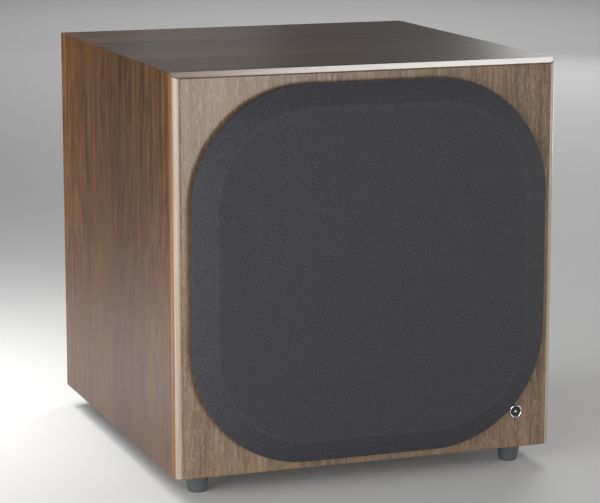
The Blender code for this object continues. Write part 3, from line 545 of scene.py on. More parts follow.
def woven(name, colour, pitch):
    """A stiffened plain weave."""
    finish = Finish(name, colour, 0.8, Sheen_Weight=0.2)
    weave = finish.weave(pitch)
    finish.tint(finish.span(weave, -1, 1, 0.75, 1.15))
    finish.bump(weave, 0.0002, 0.7)
    return finish.material


def circuit_finish(name):
    """Green solder mask with paler copper tracks under it."""
    finish = Finish(name, srgb(16, 84, 52), 0.35, Coat_Weight=0.3)
    tracks = finish.add("TexVoronoi", "Distance", {"Vector": finish.scaled((1, 0.01, 1)), "Scale": 140})
    mask = finish.span(tracks, 0.3, 0.34)
    finish.feed("Base Color", finish.mix(mask, srgb(34, 118, 74), srgb(14, 74, 46)))
    finish.bump(mask, 0.00004, 0.5)
    return finish.material


# Walnut tones: dark, middle, light and pale. The cabinet is one walnut; the front's and the top's sets also
# paint how light falls there. The front's set is paler and greyer, a painted reflection, and the top's is
# darker and greyer, painted shade and reflection.
WALNUT = (srgb(54, 33, 15), srgb(75, 46, 21), srgb(98, 64, 32), srgb(119, 86, 48))
TOP_WALNUT_PAINTED_SHADE = (srgb(46, 32, 22), srgb(63, 46, 33), srgb(82, 61, 45), srgb(104, 82, 62))
FRONT_WALNUT_PAINTED_REFLECTION = (srgb(73, 56, 41), srgb(95, 75, 56), srgb(115, 93, 70), srgb(142, 121, 95))
EDGE_WALNUT = (srgb(84, 54, 32), srgb(110, 75, 47), srgb(129, 93, 63), srgb(138, 105, 76))
# Pale tones, a painted highlight, for the round edges' crowns and the sloping bevel.
HIGHLIGHT_WALNUT = (srgb(132, 114, 97), srgb(150, 134, 118), srgb(164, 150, 134), srgb(176, 164, 150))

# The side's shades from its front to its back, darkest in the middle.
SIDE_SHADES = ((0.0, (1.0, 0.98, 0.94, 1)), (0.5, (0.6, 0.56, 0.52, 1)), (1.0, (1.05, 1.0, 0.85, 1)))

M = {
    "side": veneer("walnut_side", 2, WALNUT, gloss=0.3, weights=(0.18, 0.22, 0.8), fleck=0.5, pore=0.5,
                   fine=(330, 0.1, 430), seed=3.1, figure=SIDE_SHADES),
    # The front's paler, greyer tones are a painted reflection.
    "front": veneer("walnut_front_painted_reflection", 2, FRONT_WALNUT_PAINTED_REFLECTION, gloss=0.5, weights=(0.2, 0.34, 0.36), ripple=0.9,
                    fleck=0.5, pore=0.2, fine=(640, 0.14, 1100), seed=8.3),
    # The top's darker, greyer tones are painted shade and reflection.
    "top": veneer("walnut_top_painted_shade", 0, TOP_WALNUT_PAINTED_SHADE, weights=(0.45, 0.85, 0.2), ripple=0.3, seed=5.7),
    "edge": veneer("walnut_edge", 2, EDGE_WALNUT, rough=0.26, ripple=0.1, fleck=0.1, pore=0.15, seed=1.9),
    # The crown's pale tones are a painted highlight.
    "crown": veneer("walnut_crown_painted_highlight", 2, HIGHLIGHT_WALNUT, rough=0.26, ripple=0.1, fleck=0.1, pore=0.1, seed=2.6),
    # The bevel's pale tones are a painted highlight, over the overhead lamp's own reflection.
    "bevel": veneer("walnut_bevel_painted_highlight", 0, HIGHLIGHT_WALNUT, rough=0.24, ripple=0.1, fleck=0.1, pore=0.1, seed=4.4),
    "edge_line": fibreboard("walnut_dark_line", srgb(70, 50, 36), 0.6),
    "joint_line": fibreboard("walnut_pale_line", srgb(172, 156, 134), 0.5),
    "cut_board": fibreboard("cut_fibreboard", srgb(120, 96, 70)),
    "black_board": fibreboard("black_fibreboard", srgb(26, 26, 27)),
    "grille_cloth": cloth_finish("charcoal_cloth"),
    "black_plastic": moulded("black_moulding", srgb(30, 30, 32), 0.42),
    "grey_plastic": moulded("grey_foot_moulding", srgb(67, 72, 74), 0.4),
    "black_rubber": moulded("black_rubber", srgb(24, 24, 25), 0.55, 900, 0.00002),
    "white_insert": moulded("white_insert", srgb(226, 224, 218), 0.35),
    "red_insert": moulded("red_insert", srgb(176, 26, 26), 0.35),
    "gloss_black": moulded("gloss_black", srgb(12, 12, 13), 0.08, 300, 0.000004, Coat_Weight=0.6),
    "amp_paint": moulded("amp_powder_paint", srgb(30, 30, 32), 0.48, 3200, 0.00009),
    "cast_metal": moulded("cast_painted_metal", srgb(58, 59, 61), 0.45, 1500, 0.00006, Metallic=0.35),
    "ferrite": moulded("ferrite", srgb(44, 44, 46), 0.55, 1800, 0.00008),
    "cone_metal": metal("anodised_cone", srgb(112, 112, 116), 0.34, 0.8),
    "chrome": metal("bright_plate", srgb(226, 227, 230), 0.08, 1.0, None, 0.000002),
    "steel": metal("zinc_plated_steel", srgb(176, 177, 180), 0.3),
    "bare_aluminium": metal("bare_aluminium", srgb(196, 198, 200), 0.36, 1.0, 2, 0.00002),
    "coil_former": moulded("coil_former", srgb(168, 118, 62), 0.45, 900, 0.00002),
    "copper": windings("copper_coil", srgb(196, 112, 68), 0.0006),
    "toroid": wound_toroid("varnished_windings", srgb(190, 104, 56)),
    "spider_cloth": woven("spider_cloth", srgb(198, 152, 78), 0.0012),
    "wadding": moulded("polyester_wadding", srgb(226, 225, 220), 0.95, 500, 0.0012, (160, 0.12, 5.0), 5.0,
                       Sheen_Weight=0.5, Subsurface_Weight=0.15),
    "circuit": circuit_finish("circuit_board_green"),
    "blue_lens": moulded("blue_lens", srgb(60, 110, 205), 0.12, 300, 0.000004,
                         Emission_Color=srgb(60, 130, 255), Emission_Strength=0.35),
    "print": moulded("white_print", srgb(205, 206, 208), 0.5, 1500, 0.000005),
    "sleeve": moulded("capacitor_sleeve", srgb(32, 38, 62), 0.3, 400, 0.00001),
    "glass": Finish("fuse_glass", srgb(220, 228, 230), 0.05, Transmission_Weight=0.9).material,
}


# ---- Cabinet ----


def make_carcass():
    """Four mitred boards with finely rounded arrises, clockwise from the top, with holes for the feet."""
    right, high, low = HALF - ARRIS, TOP - ARRIS, BASE + ARRIS
    arrises = [(-right, high), (right, high), (right, low), (-right, low)]
    right, high, low = HALF - BOARD, TOP - BOARD, BASE + BOARD
    inners = [(-right, high), (right, high), (right, low), (-right, low)]
    front = FRONT + LIP + SEAM
    rings = ((front, 0.00025), (front + 0.00025, 0), (BACK - 0.0004, 0), (BACK, 0.0004))
    steps = 3
    for number, name in enumerate(("top", "right", "bottom", "left")):
        after = (number + 1) % 4
        outlines = []
        for y, inset in rings:
            radius = ARRIS - inset
            outline = []
            for half, (x, z) in enumerate((arrises[number], arrises[after])):
                for step in range(steps + 1):
                    turn = math.radians(135 - 90 * number - 45 * (half + step / steps))
                    outline.append((x + radius * math.cos(turn), y, z + radius * math.sin(turn)))
            outline += [(x, y, z) for x, z in (inners[after], inners[number])]
            outlines.append(outline)
        bm = bmesh.new()
        loft(bm, outlines)
        level = name in ("top", "bottom")
        made = piece("veneered_" + name, bm, "top black_board" if level else "side black_board",
                     name + ("_panel" if level else "_side_panel"))
        if name == "bottom":
            holes = bmesh.new()
            hole = [(0, -0.01), (0.0034, -0.01), (0.0034, 0.014), (0, 0.014)]
            for x, y in foot_places():
                spin(holes, hole, (x, y, BASE), "up", 32, 0, 1)
            carve(made, (holes, "DIFFERENCE", "cut_board"))


def baffle_outline(inset):
    """The baffle's plan outline from right to left, as (x, depth), with a joint line after each arc."""
    steps = 14
    radius = EDGE_RADIUS - inset
    centre = HALF - EDGE_RADIUS
    side = [(HALF - inset, LIP), (HALF - inset, EDGE_RADIUS)]
    for step in range(steps + 1):
        turn = math.pi / 2 * step / steps
        side.append((centre + radius * math.cos(turn), EDGE_RADIUS - radius * math.sin(turn)))
    side.append((centre - JOINT_LINE, EDGE_RADIUS - radius))
    return side + [(-x, depth) for x, depth in reversed(side)]


def rim_height(depth):
    """The height of the baffle's sloping top at a depth."""
    return TOP - BEVEL_DROP * (1 - min(depth / LIP, 1))


def make_baffle():
    """The front board, with round upright edges and a sloping top whose lower edge is a thin dark line. The
    round edges' crowns and the sloping top are painted pale, as a highlight.
    """
    bm = bmesh.new()
    low = [(x, FRONT + depth, BASE) for x, depth in baffle_outline(0.0004)]
    foot = [(x, FRONT + depth, BASE + 0.0004) for x, depth in baffle_outline(0)]
    wall = [(x, FRONT + depth, rim_height(depth) - EDGE_LINE) for x, depth in baffle_outline(0)]
    line = [(x, FRONT + depth, rim_height(depth) - 0.0002) for x, depth in baffle_outline(0.00015)]
    rim = [(x, FRONT + depth, rim_height(depth)) for x, depth in baffle_outline(0.0006)]
    loops = loft(bm, [low, foot, wall, line, rim])
    finishes = ["front", "edge_line", "cut_board", "joint_line", "edge", "bevel", "crown"]
    # Strips of the wall, counted from its seam with the side: the edge, its crown, the front and a joint. The
    # crown is painted pale, as a highlight on the round edge.
    crown_from, front_from, joint = 7, 13, 16
    count = len(low)
    column = {corner: number for loop in loops for number, corner in enumerate(loop)}
    lined = set(loops[2]) | set(loops[3])
    for face in bm.faces:
        columns = sorted(column[corner] for corner in face.verts)
        start = columns[0] if columns[-1] - columns[0] < count / 2 else -1
        from_end = min(start, count - 2 - start)
        finish = "front"
        if all(corner in lined for corner in face.verts):
            finish = "edge_line"
        elif len(face.verts) > 4:
            # The sloping top takes the bevel finish, whose pale tones are a painted highlight.
            finish = "bevel" if face.normal.z > 0 or face.calc_center_median().z > CENTRE_Z else "cut_board"
        elif from_end < crown_from:
            finish = "edge"
        elif from_end < front_from:
            finish = "crown"
        elif from_end == joint and start > count / 2:
            finish = "joint_line"
        face.material_index = finishes.index(finish)
    made = piece("veneered_front", bm, " ".join(finishes), "front_baffle", smooth=24)
    plug = bmesh.new()
    boards = 2 * (BOARD + GAP)
    overlap = 0.002
    cuboid(plug, (0, FRONT + LIP + (PLUG - overlap) / 2, CENTRE_Z),
           (2 * HALF - boards, PLUG + overlap, TOP - BASE - boards), 0)
    holes = bmesh.new()
    rim_hole, cutout = 0.1256, 0.116
    hole = [(0, 0.01), (rim_hole + 0.0105, 0.01), (rim_hole, -0.0005), (rim_hole, -0.006), (cutout, -0.006),
            (cutout, -0.05), (0, -0.05)]
    spin(holes, hole, (0, FRONT, DRIVER_Z), "front", 128, 0, 1)
    for x, z in cup_places():
        bore(holes, x, z, 0.0063, FRONT - 0.01, FRONT + 0.0123)
    carve(made, (plug, "UNION", "cut_board"), (holes, "DIFFERENCE", "cut_board"))


def foot_places():
    x, inset = HALF - 0.026, 0.027
    return [(side * x, y) for y in (FRONT + inset, BACK - inset) for side in (-1, 1)]


def cup_places():
    reach = (GRILLE_CORNER - CUP_INSET) * math.sqrt(0.5)
    x = GRILLE_WIDTH / 2 - GRILLE_CORNER + reach
    up = GRILLE_HEIGHT / 2 - GRILLE_CORNER + reach
    return [(side * x, DRIVER_Z + rise * up) for rise in (-1, 1) for side in (-1, 1)]


def make_feet():
    """Tapered round feet, and the threaded studs that hold them."""
    foot = [(0, 0.0004), (0.0052, 0.0004), (0.0056, 0), (0.0066, 0), (0.0074, 0.0008), (0.0106, 0.0177),
            (0.0034, 0.0177), (0.0034, 0.0097), (0, 0.0097)]
    stud = [(0, 0.031), (0.0022, 0.031)]
    for thread in range(20):
        height = 0.03 - 0.001 * thread
        stud += [(0.003, height), (0.0025, height - 0.0005)]
    stud += [(0.0022, 0.01), (0, 0.01)]
    for number, (x, y) in enumerate(foot_places(), 1):
        lathe(f"tapered_foot_{number}", foot, (x, y, 0), "up", "grey_plastic", f"foot_{number}", steps=64,
              soften=0.0005)
        lathe(f"threaded_stud_{number}", stud, (x, y, 0), "up", "steel", f"foot_stud_{number}", steps=32,
              soften=0.0001, bends=1)


def make_badge():
    """A plain round badge: a bright ring, a black disc and a bright stud in the middle."""
    place = (0.1299, FRONT, BASE + 0.0305)
    ring = [(0.0055, 0.0003), (0.0055, 0.0011), (0.0051, 0.0016), (0.0046, 0.0016), (0.0042, 0.0011),
            (0.0042, 0.0003)]
    lathe("badge_bright_ring", ring, place, "front", "chrome", "badge_ring", steps=64)
    disc = [(0, 0.0003), (0.0039, 0.0003), (0.0039, 0.001), (0, 0.0011)]
    lathe("badge_black_disc", disc, place, "front", "gloss_black", "badge_disc", steps=64, soften=0.0002)
    stud = [(0, 0.001), (0.0012, 0.001), (0.001, 0.0014), (0, 0.0015)]
    lathe("badge_centre", stud, place, "front", "chrome", steps=48)


def make_inside():
    """The rear panel, the brace and the wadding."""
    refined("rear_board", "rear_panel", "black_board", 0.0006)
    refined("brace_board", "window_brace", "cut_board", 0.0006)
    made = placed("wadding_lining", frame["nodes"]["damping_wadding"].data.copy())
    remesh = made.modifiers.new("remesh", "REMESH")
    remesh.mode = "VOXEL"
    remesh.voxel_size = 0.004
    mesh = settle(made)
    shifts = []
    for vertex in mesh.vertices:
        lump = noise.fractal(vertex.co * 38, 0.9, 2.1, 3, noise_basis="PERLIN_ORIGINAL")
        shifts.append(vertex.normal * (0.002 * max(-1, min(1, lump)) - 0.0022))
    for vertex, shift in zip(mesh.vertices, shifts):
        vertex.co += shift
    mesh.materials.clear()
    mesh.materials.append(M["wadding"])
    mesh.shade_smooth()
    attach(made, "cabinet")
    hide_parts("damping_wadding")


# ---- Grille ----


def grille_ring(inset, proud):
    """The grille's outline at an inset from its edge and a height over the baffle."""
    return [(x, FRONT - proud, DRIVER_Z + up) for x, up in ring_points(inset, *GRILLE)]


def make_grille():
    """The cloth, stretched over the ring frame and turned in behind it, and the frame with its pegs."""
    path = [(CLOTH_TURN, CLOTH_BACK, 0), (0, CLOTH_BACK, 0), (0, CLOTH_EDGE, 0),
            (CLOTH_RIDGE, CLOTH_FRONT, 0), (0.03, CLOTH_FRONT, 0)]
    edge = fillet(path[:4], 0.0011, False, 5)[:-1]
    ridge = fillet(path[2:], 0.003, False, 6)[1:]
    # Each profile point is (inset, height, mark); the mark is 1 on the ridge, where the cloth is painted
    # paler as a highlight.
    profile = [(spot.x, spot.y, 0.0) for spot in edge]
    profile += [(spot.x, spot.y, 1.0 if abs(spot.x - CLOTH_RIDGE) < 0.0013 else 0.0) for spot in ridge]
    profile += [(inset, CLOTH_FRONT, 0.0) for inset in (0.045, 0.06, 0.075, 0.09, 0.105, 0.12, 0.135, 0.147)]
    bm = bmesh.new()
    layer = bm.verts.layers.float.new("ridge")
    loops = loft(bm, [grille_ring(inset, proud) for inset, proud, _ in profile], caps=(False, True))
    for loop, (_, _, ridge_highlight) in zip(loops, profile):
        for corner in loop:
            corner[layer] = ridge_highlight
    cloth = piece("stretched_cloth", bm, "grille_cloth", "grille_cloth", smooth=60, weighted=False)
    thick = cloth.modifiers.new("thickness", "SOLIDIFY")
    thick.thickness = 0.0005
    thick.offset = -1

    path = [(0.001, 0.0053, 0), (0.001, 0.0071, 0), (0.0194, 0.0138, 0), (0.024, 0.0138, 0),
            (0.024, 0.0013, 0), (0.009, 0.0013, 0), (0.009, 0.0053, 0)]
    bm = bmesh.new()
    loft(bm, [grille_ring(spot.x, spot.y) for spot in fillet(path, 0.0006, True, 2)], closed=True)
    made = piece("moulded_frame", bm, "black_plastic", "grille_frame")
    pegs = bmesh.new()
    peg = [(0, 0.004), (0.0035, 0.004), (0.0035, -0.0092), (0.0029, -0.01), (0, -0.01)]
    for x, z in cup_places():
        spin(pegs, peg, (x, FRONT, z), "front", 32, 0.0002, 2)
    carve(made, (pegs, "UNION", "black_plastic"))

    cup = [(0, -0.012), (0.006, -0.012), (0.006, -0.0003), (0.0039, -0.0003), (0.0039, -0.0108), (0, -0.0108)]
    for number, (x, z) in enumerate(cup_places(), 1):
        lathe(f"rubber_cup_{number}", cup, (x, FRONT, z), "front", "black_rubber",
              f"grille_cup_{number}", steps=48)


# ---- Driver ----


def screws(name, head, places, facing):
    """Screws, which no CAD node holds."""
    for number, place in enumerate(places, 1):
        lathe(f"{name}_{number}", head, place, facing, "steel", steps=36, soften=0.0002, bends=2)


def make_basket():
    """The cast chassis, with its rim, six spokes and screw holes, and the rim's screws."""
    outline = [(0.109, 0.001), (0.125, 0.001), (0.125, 0.0057), (0.1145, 0.0057), (0.1135, 0.014),
               (0.082, 0.06), (0.07, 0.082), (0.034, 0.082), (0.034, 0.078), (0.06, 0.078), (0.068, 0.062),
               (0.069, 0.058), (0.0775, 0.058), (0.109, 0.012)]
    made = driver_lathe("cast_basket", outline, "cast_metal", "basket", steps=120, soften=0.0008)
    windows = bmesh.new()
    for number in range(6):
        turn = math.radians(30) + number * math.pi / 3
        place = Matrix.Translation((0, FRONT + 0.035, DRIVER_Z)) @ Matrix.Rotation(turn, 4, "Y")
        shape = Matrix.Translation((0.1, 0, 0)) @ Matrix.Diagonal((0.08, 0.036, 0.062, 1))
        part = bmesh.new()
        bmesh.ops.create_cube(part, size=1, matrix=place @ shape)
        soften_edges(part, 0.005, 4)
        join(windows, part)
    holes = bmesh.new()
    turns = [(number + 0.5) * math.pi / 4 for number in range(8)]
    places = [(0.1195 * math.cos(turn), FRONT, DRIVER_Z + 0.1195 * math.sin(turn)) for turn in turns]
    for x, _, z in places:
        bore(holes, x, z, 0.0026, FRONT - 0.01, FRONT + 0.012, 24)
    carve(made, (windows, "DIFFERENCE", "cast_metal"), (holes, "DIFFERENCE", "cast_metal"))
    edge_work(made, 0.0004)
    head = [(0, -0.0004), (0.0012, -0.0004), (0.0014, 0.0008), (0.003, 0.001), (0.0042, 0.0002),
            (0.0042, -0.0008), (0.0023, -0.0008), (0.0023, -0.016), (0.0012, -0.018), (0, -0.018)]
    screws("rim_screw", head, places, "front")


def make_cone():
    """The cone, cap, former and coil."""
    cone = [(0.0257, 0.0435), (0.04, 0.0328), (0.064, 0.0166), (0.0868, 0.001), (0.0925, 0.001),
            (0.0925, 0.0022), (0.0873, 0.0022), (0.0647, 0.0178), (0.0407, 0.034), (0.027, 0.046),
            (0.0257, 0.046)]
    driver_lathe("metal_cone", cone, "cone_metal", "cone", steps=144, soften=0.0012)
    cap = []
    steps = 16
    for rise, radius, order in ((0.0105, 0.0395, 1), (0.0095, 0.0384, -1)):
        turns = [math.pi / 2 * step / steps for step in range(steps + 1)]
        arc = [(radius * math.sin(turn), 0.0325 - rise * math.cos(turn)) for turn in turns]
        cap += arc[::order]
    driver_lathe("domed_cap", cap, "cone_metal", "dust_cap", soften=0.0001, bends=1)
    former = [(0.0249, 0.043), (0.0254, 0.043), (0.0254, 0.102), (0.0249, 0.102)]
    driver_lathe("former_tube", former, "coil_former", "coil_former", soften=0.0001)
    coil = [(0.0257, 0.08), (0.027, 0.08), (0.027, 0.102), (0.0257, 0.102)]
    driver_lathe("coil_windings", coil, "copper", "voice_coil")


def sectors(name, outline, count, parts, finish, node, soften=0.0002):
    """A flexible ring in closed sectors."""
    ring = bmesh.new()
    steps = count * parts
    outline = [(radius, -depth) for radius, depth in outline]
    spin(ring, outline, (0, FRONT, DRIVER_Z), "front", steps, soften, 2)
    bmesh.ops.recalc_face_normals(ring, faces=ring.faces[:])
    whole = mesh_of(name, ring)
    whole.shade_smooth()
    whole.set_sharp_from_angle(angle=math.radians(50))
    loop_normals = [Vector(normal.vector) for normal in whole.corner_normals]
    rows = len(whole.vertices) // steps
    for number in range(count):
        wanted = [number * parts + part for part in range(parts + 1)]
        new = {}
        points = []
        for row in range(rows):
            for column in wanted:
                old = row * steps + column % steps
                new[old] = len(points)
                points.append(whole.vertices[old].co.copy())
        faces = []
        normals = []
        for face in whole.polygons:
            if all(corner in new for corner in face.vertices):
                faces.append([new[corner] for corner in face.vertices])
                normals += [loop_normals[loop] for loop in face.loop_indices]
        for column in (wanted[0], wanted[-1]):
            turn = 2 * math.pi * column / steps
            facing = Vector((-math.sin(turn), 0, math.cos(turn))) * (-1 if column == wanted[0] else 1)
            cap = [new[row * steps + column % steps] for row in range(rows)]
            spokes = [points[corner] - points[cap[0]] for corner in cap[1:]]
            area = sum((spoke.cross(after) for spoke, after in zip(spokes, spokes[1:])), Vector())
            if area.dot(facing) < 0:
                cap.reverse()
            faces.append(cap)
            normals += [facing] * rows
        mesh = bpy.data.meshes.new(f"{name}_{number + 1}")
        mesh.from_pydata(points, [], faces)
        mesh.materials.append(M[finish])
        mesh.shade_smooth()
        mesh.normals_split_custom_set(normals)
        made = placed(mesh.name, mesh)
        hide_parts(node)
        turn = 2 * math.pi * (number + 0.5) / count
        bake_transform(made)
    bpy.data.meshes.remove(whole)


def make_flexible():
    """The rubber roll round the cone, its trim ring, and the spider behind."""
    flat = 0.0007
    thick = 0.001
    middle, roll, rise = 0.101, 0.008, 0.0078
    steps = 14
    turns = [math.pi * step / steps for step in range(steps + 1)]
    outline = [(0.0868, flat), (0.0868, flat - thick)]
    for turn in reversed(turns):
        outline.append((middle + roll * math.cos(turn), flat - thick - rise * math.sin(turn)))
    outline += [(0.1143, flat - thick), (0.1143, flat)]
    for turn in turns:
        outline.append((middle + (roll - thick) * math.cos(turn), flat - rise * math.sin(turn)))
    sectors("rubber_surround", outline, 36, 4, "black_rubber", "surround")
    trim = [(0.1092, -0.0018), (0.112, -0.0022), (0.1143, -0.0018), (0.1143, -0.0006), (0.1092, -0.0006)]
    driver_lathe("rubber_trim", trim, "black_rubber", "trim_ring", steps=144, soften=0.0005)
    front = 0.0569
    upper = [(0.0257, front)]
    steps = 8
    for wave in range(4):
        for step in range(steps):
            radius = 0.031 + (wave + step / steps) * 0.0075
            upper.append((radius, front - 0.0022 * math.cos(math.pi * (wave + step / steps))))
    upper += [(0.061, front - 0.0022), (0.0665, front), (0.0765, front)]
    outline = upper + [(radius, depth + 0.0007) for radius, depth in reversed(upper)]
    sectors("woven_spider", outline, 24, 5, "spider_cloth", "spider", 0.0001)


def make_motor():
    """The plates and the magnet, the terminal and its tags."""
    plate_outline = [(0.028, 0.0823), (0.062, 0.0823), (0.062, 0.0903), (0.028, 0.0903)]
    driver_lathe("front_plate", plate_outline, "steel", "top_plate", soften=0.0006)
    magnet = [(0.032, 0.0906), (0.0685, 0.0906), (0.07, 0.0921), (0.07, 0.1091), (0.0685, 0.1106),
              (0.032, 0.1106)]
    driver_lathe("ring_magnet", magnet, "ferrite", "magnet", soften=0.0005)
    yoke = [(0.006, 0.0823), (0.024, 0.0823), (0.024, 0.1109), (0.062, 0.1109), (0.062, 0.1174),
            (0.0605, 0.1189), (0.006, 0.1189)]
    driver_lathe("vented_yoke", yoke, "steel", "pole_yoke", soften=0.0006)
    refined("terminal_block", "driver_terminal", "black_plastic")
    tags = bmesh.new()
    for x in (-0.0065, 0.0065):
        cuboid(tags, (x, FRONT + 0.0735, DRIVER_Z - 0.09265), (0.0032, 0.0008, 0.0057), 0.0002)
    piece("terminal_tags", tags, "steel")
    refined("two_core_lead", "speaker_lead", "black_rubber", 0)


# ---- Amplifier ----


def make_amp_plate():
    """The plate with its holes, its screws and its printed scales."""
    bm = bmesh.new()
    outline = ring_points(0, 0.2, 0.25, 0.006, 8)
    loft(bm, [[(x, y, CENTRE_Z + up) for x, up in outline] for y in (PLATE_FRONT, PLATE_BACK)])
    made = piece("painted_plate", bm, "amp_paint", "amp_plate")
    holes = bmesh.new()
    front, back = PLATE_FRONT - 0.01, PLATE_BACK + 0.01
    rounds = [(place, 0.0049) for place in KNOBS.values()]
    rounds += [(place, 0.0045) for place in LINE_SOCKETS.values()]
    for (x, up), radius in rounds + [(JACK, 0.004), (LAMP, 0.0019)]:
        bore(holes, x, CENTRE_Z + up, radius, front, back)
    slots = ((SLIDERS["phase"], 0.013, 0.0046), (SLIDERS["auto"], 0.013, 0.0046),
             (SLIDERS["eq"], 0.011, 0.0046), (ROCKER, 0.0196, 0.0216), (INLET, 0.0276, 0.0336))
    for (x, up), width, height in slots:
        cuboid(holes, (x, (front + back) / 2, CENTRE_Z + up), (width, back - front, height), 0)
    carve(made, (holes, "DIFFERENCE", "amp_paint"))
    edge_work(made, 0.0004)
    refined("plate_gasket", "amp_seal", "black_rubber", 0.0002)
    head = [(0, 0.0006), (0.001, 0.0006), (0.0011, 0.0016), (0.0024, 0.0017), (0.0036, 0.0008), (0.0037, 0),
            (0, 0)]
    places = [(side * 0.0945, up) for side in (-1, 1) for up in (-0.1195, -0.06, 0, 0.06, 0.1195)]
    places += [(0, 0.1195), (0, -0.1195)]
    screws("plate_screw", head, [(x, PLATE_BACK, CENTRE_Z + up) for x, up in places], "back")
    marks = bmesh.new()
    for x, up in KNOBS.values():
        for tick in range(11):
            turn = math.radians(-140 + 28 * tick)
            length = 0.003 if tick in (0, 5, 10) else 0.0018
            middle = Matrix.Translation((x, PLATE_BACK + 0.00005, CENTRE_Z + up))
            out = Matrix.Rotation(turn, 4, "Y") @ Matrix.Translation((0, 0, 0.0135 + length / 2))
            size = Matrix.Diagonal((0.0005, 0.0001, length, 1))
            bmesh.ops.create_cube(marks, size=1, matrix=middle @ out @ size)
    rules = ((0.052, 0.0525, 0.012), (0, 0.0525, 0.01), (-0.052, 0.0525, 0.012), (0.041, 0.0185, 0.034),
             (-0.04, 0.0165, 0.01), (-0.048, -0.0215, 0.018))
    for x, up, wide in rules:
        cuboid(marks, (x, PLATE_BACK + 0.00005, CENTRE_Z + up + 0.00025), (wide, 0.0001, 0.0005), 0)
    piece("printed_marks", marks, "print", slot="white_insert", weighted=False)


def knob(name, x, up, node):
    """A knurled knob with a pale pointer line."""
    z = CENTRE_Z + up
    base = PLATE_BACK + 0.0004
    bm = bmesh.new()
    outline = [(0, -0.01), (0.003, -0.01), (0.003, 0), (0.0109, 0), (0.0106, 0.002), (0.0104, 0.0122),
               (0.0097, 0.013), (0.0075, 0.0128), (0.007, 0.0124), (0, 0.0124)]
    spin(bm, outline, (x, base, z), "back", 144, 0.0003, 2)
    for vertex in bm.verts:
        out = Vector((vertex.co.x - x, 0, vertex.co.z - z))
        depth = vertex.co.y - base
        if out.length > 0.0098 and 0.0018 < depth < 0.0125:
            turn = math.atan2(out.z, out.x)
            vertex.co -= out.normalized() * (0.00016 * (1 + math.cos(36 * turn)))
    piece(name, bm, "black_plastic", node, smooth=50)
    line = bmesh.new()
    cuboid(line, (x, base + 0.0125, z + 0.0063), (0.0012, 0.001, 0.0066), 0.0001)
    piece(name + "_pointer", line, "print", body=BODY_OF[node], slot="white_insert")


def mounted(body, neck, *rest):
    """The outline of a fitting: its body behind the plate, its neck, and the rest by height over its back."""
    outline = [(0, 0), (body, 0), (body, BEHIND), (neck, BEHIND)]
    return outline + [(radius, FACE + height) for radius, height in rest]


def fitting(name, outline, spot, finish, *nodes, **more):
    """A turned part that stands on the circuit board, at a place on the plate."""
    lathe(name, outline, (spot[0], CIRCUIT_BACK + GAP, CENTRE_Z + spot[1]), "back", finish, *nodes, **more)


def make_controls():
    """Pots and knobs, slide switches, the rocker, the inlet and the fuse drawer."""
    bottom = 0.004 - FACE
    pot = mounted(0.008, 0.0045, (0.0045, 0), (0.0034, 0), (0.0034, bottom), (0, bottom))
    for name, spot in KNOBS.items():
        fitting(name + "_pot_body", pot, spot, "bare_aluminium", name + "_pot", steps=64)
        knob(name + "_knurled_knob", *spot, name + "_knob")
    for name in SLIDERS:
        refined(name + "_switch_body", name + "_switch", "black_plastic", 0.0003)
        refined(name + "_slider", name + "_lever", "white_insert")
    refined("rocker_bezel", "power_switch", "black_plastic")
    refined("rocker_cap", "power_rocker", "black_plastic", 0.0006, 3)
    refined("inlet_body", "mains_inlet", "black_plastic", 0.0003)
    blades = bmesh.new()
    for across, rise in ((-0.007, 0.0058), (0, 0.0098), (0.007, 0.0058)):
        middle = (INLET[0] + across, PLATE_BACK - 0.01, CENTRE_Z + INLET[1] + rise)
        cuboid(blades, middle, (0.0022, 0.0144, 0.0042))
    piece("inlet_blades", blades, "steel")
    refined("fuse_tray", "fuse_drawer", "black_plastic", 0.0003)
    place = (INLET[0], PLATE_BACK - 0.01425, CENTRE_Z + INLET[1] - 0.0095)
    for name, finish, slot, spans in (
        ("fuse_tube", "glass", "white_insert", ((-0.0066, 0.0066, 0.0021),)),
        ("fuse_caps", "steel", None, ((-0.0094, -0.0066, 0.0024), (0.0066, 0.0094, 0.0024))),
    ):
        bm = bmesh.new()
        for start, end, radius in spans:
            outline = [(0, start), (radius, start), (radius, end), (0, end)]
            spin(bm, outline, place, "right", 32, 0.0003, 2)
        piece(name, bm, finish, body="fuse_holder", slot=slot)


def make_sockets():
    """Line sockets with a coloured core in a bright shell, the jack and the lamp."""
    core = mounted(0.006, 0.004, (0.004, GAP), (0.006, GAP), (0.006, 0.002), (0.0044, 0.0022),
                   (0.0034, 0.0022), (0.0034, 0.0086), (0.0017, 0.0086), (0.0017, 0.001), (0, 0.001))
    shell = [(0.0042, FACE + 0.0022), (0.0042, FACE + 0.009), (0.0034, FACE + 0.009), (0.0034, FACE + 0.0022)]
    for side, finish in (("left", "white_insert"), ("right", "red_insert")):
        spot = LINE_SOCKETS[side]
        fitting(f"line_{side}_core", core, spot, finish, f"line_socket_{side}", steps=48)
        fitting(f"line_{side}_shell", shell, spot, "chrome", steps=48, soften=0.0002)
    jack = mounted(0.0055, 0.0036, (0.0036, GAP), (0.0052, GAP), (0.0052, 0.002), (0.0038, 0.003),
                   (0.0018, 0.003), (0.0018, -0.01), (0, -0.01))
    fitting("trigger_socket", jack, JACK, "black_plastic", "trigger_jack", steps=48)
    lamp = mounted(0.0024, 0.0015, (0.0015, 0.0004), (0.001, 0.0012), (0, 0.0015))
    fitting("lamp_lens", lamp, LAMP, "blue_lens", "status_light", steps=48, soften=0.0004)


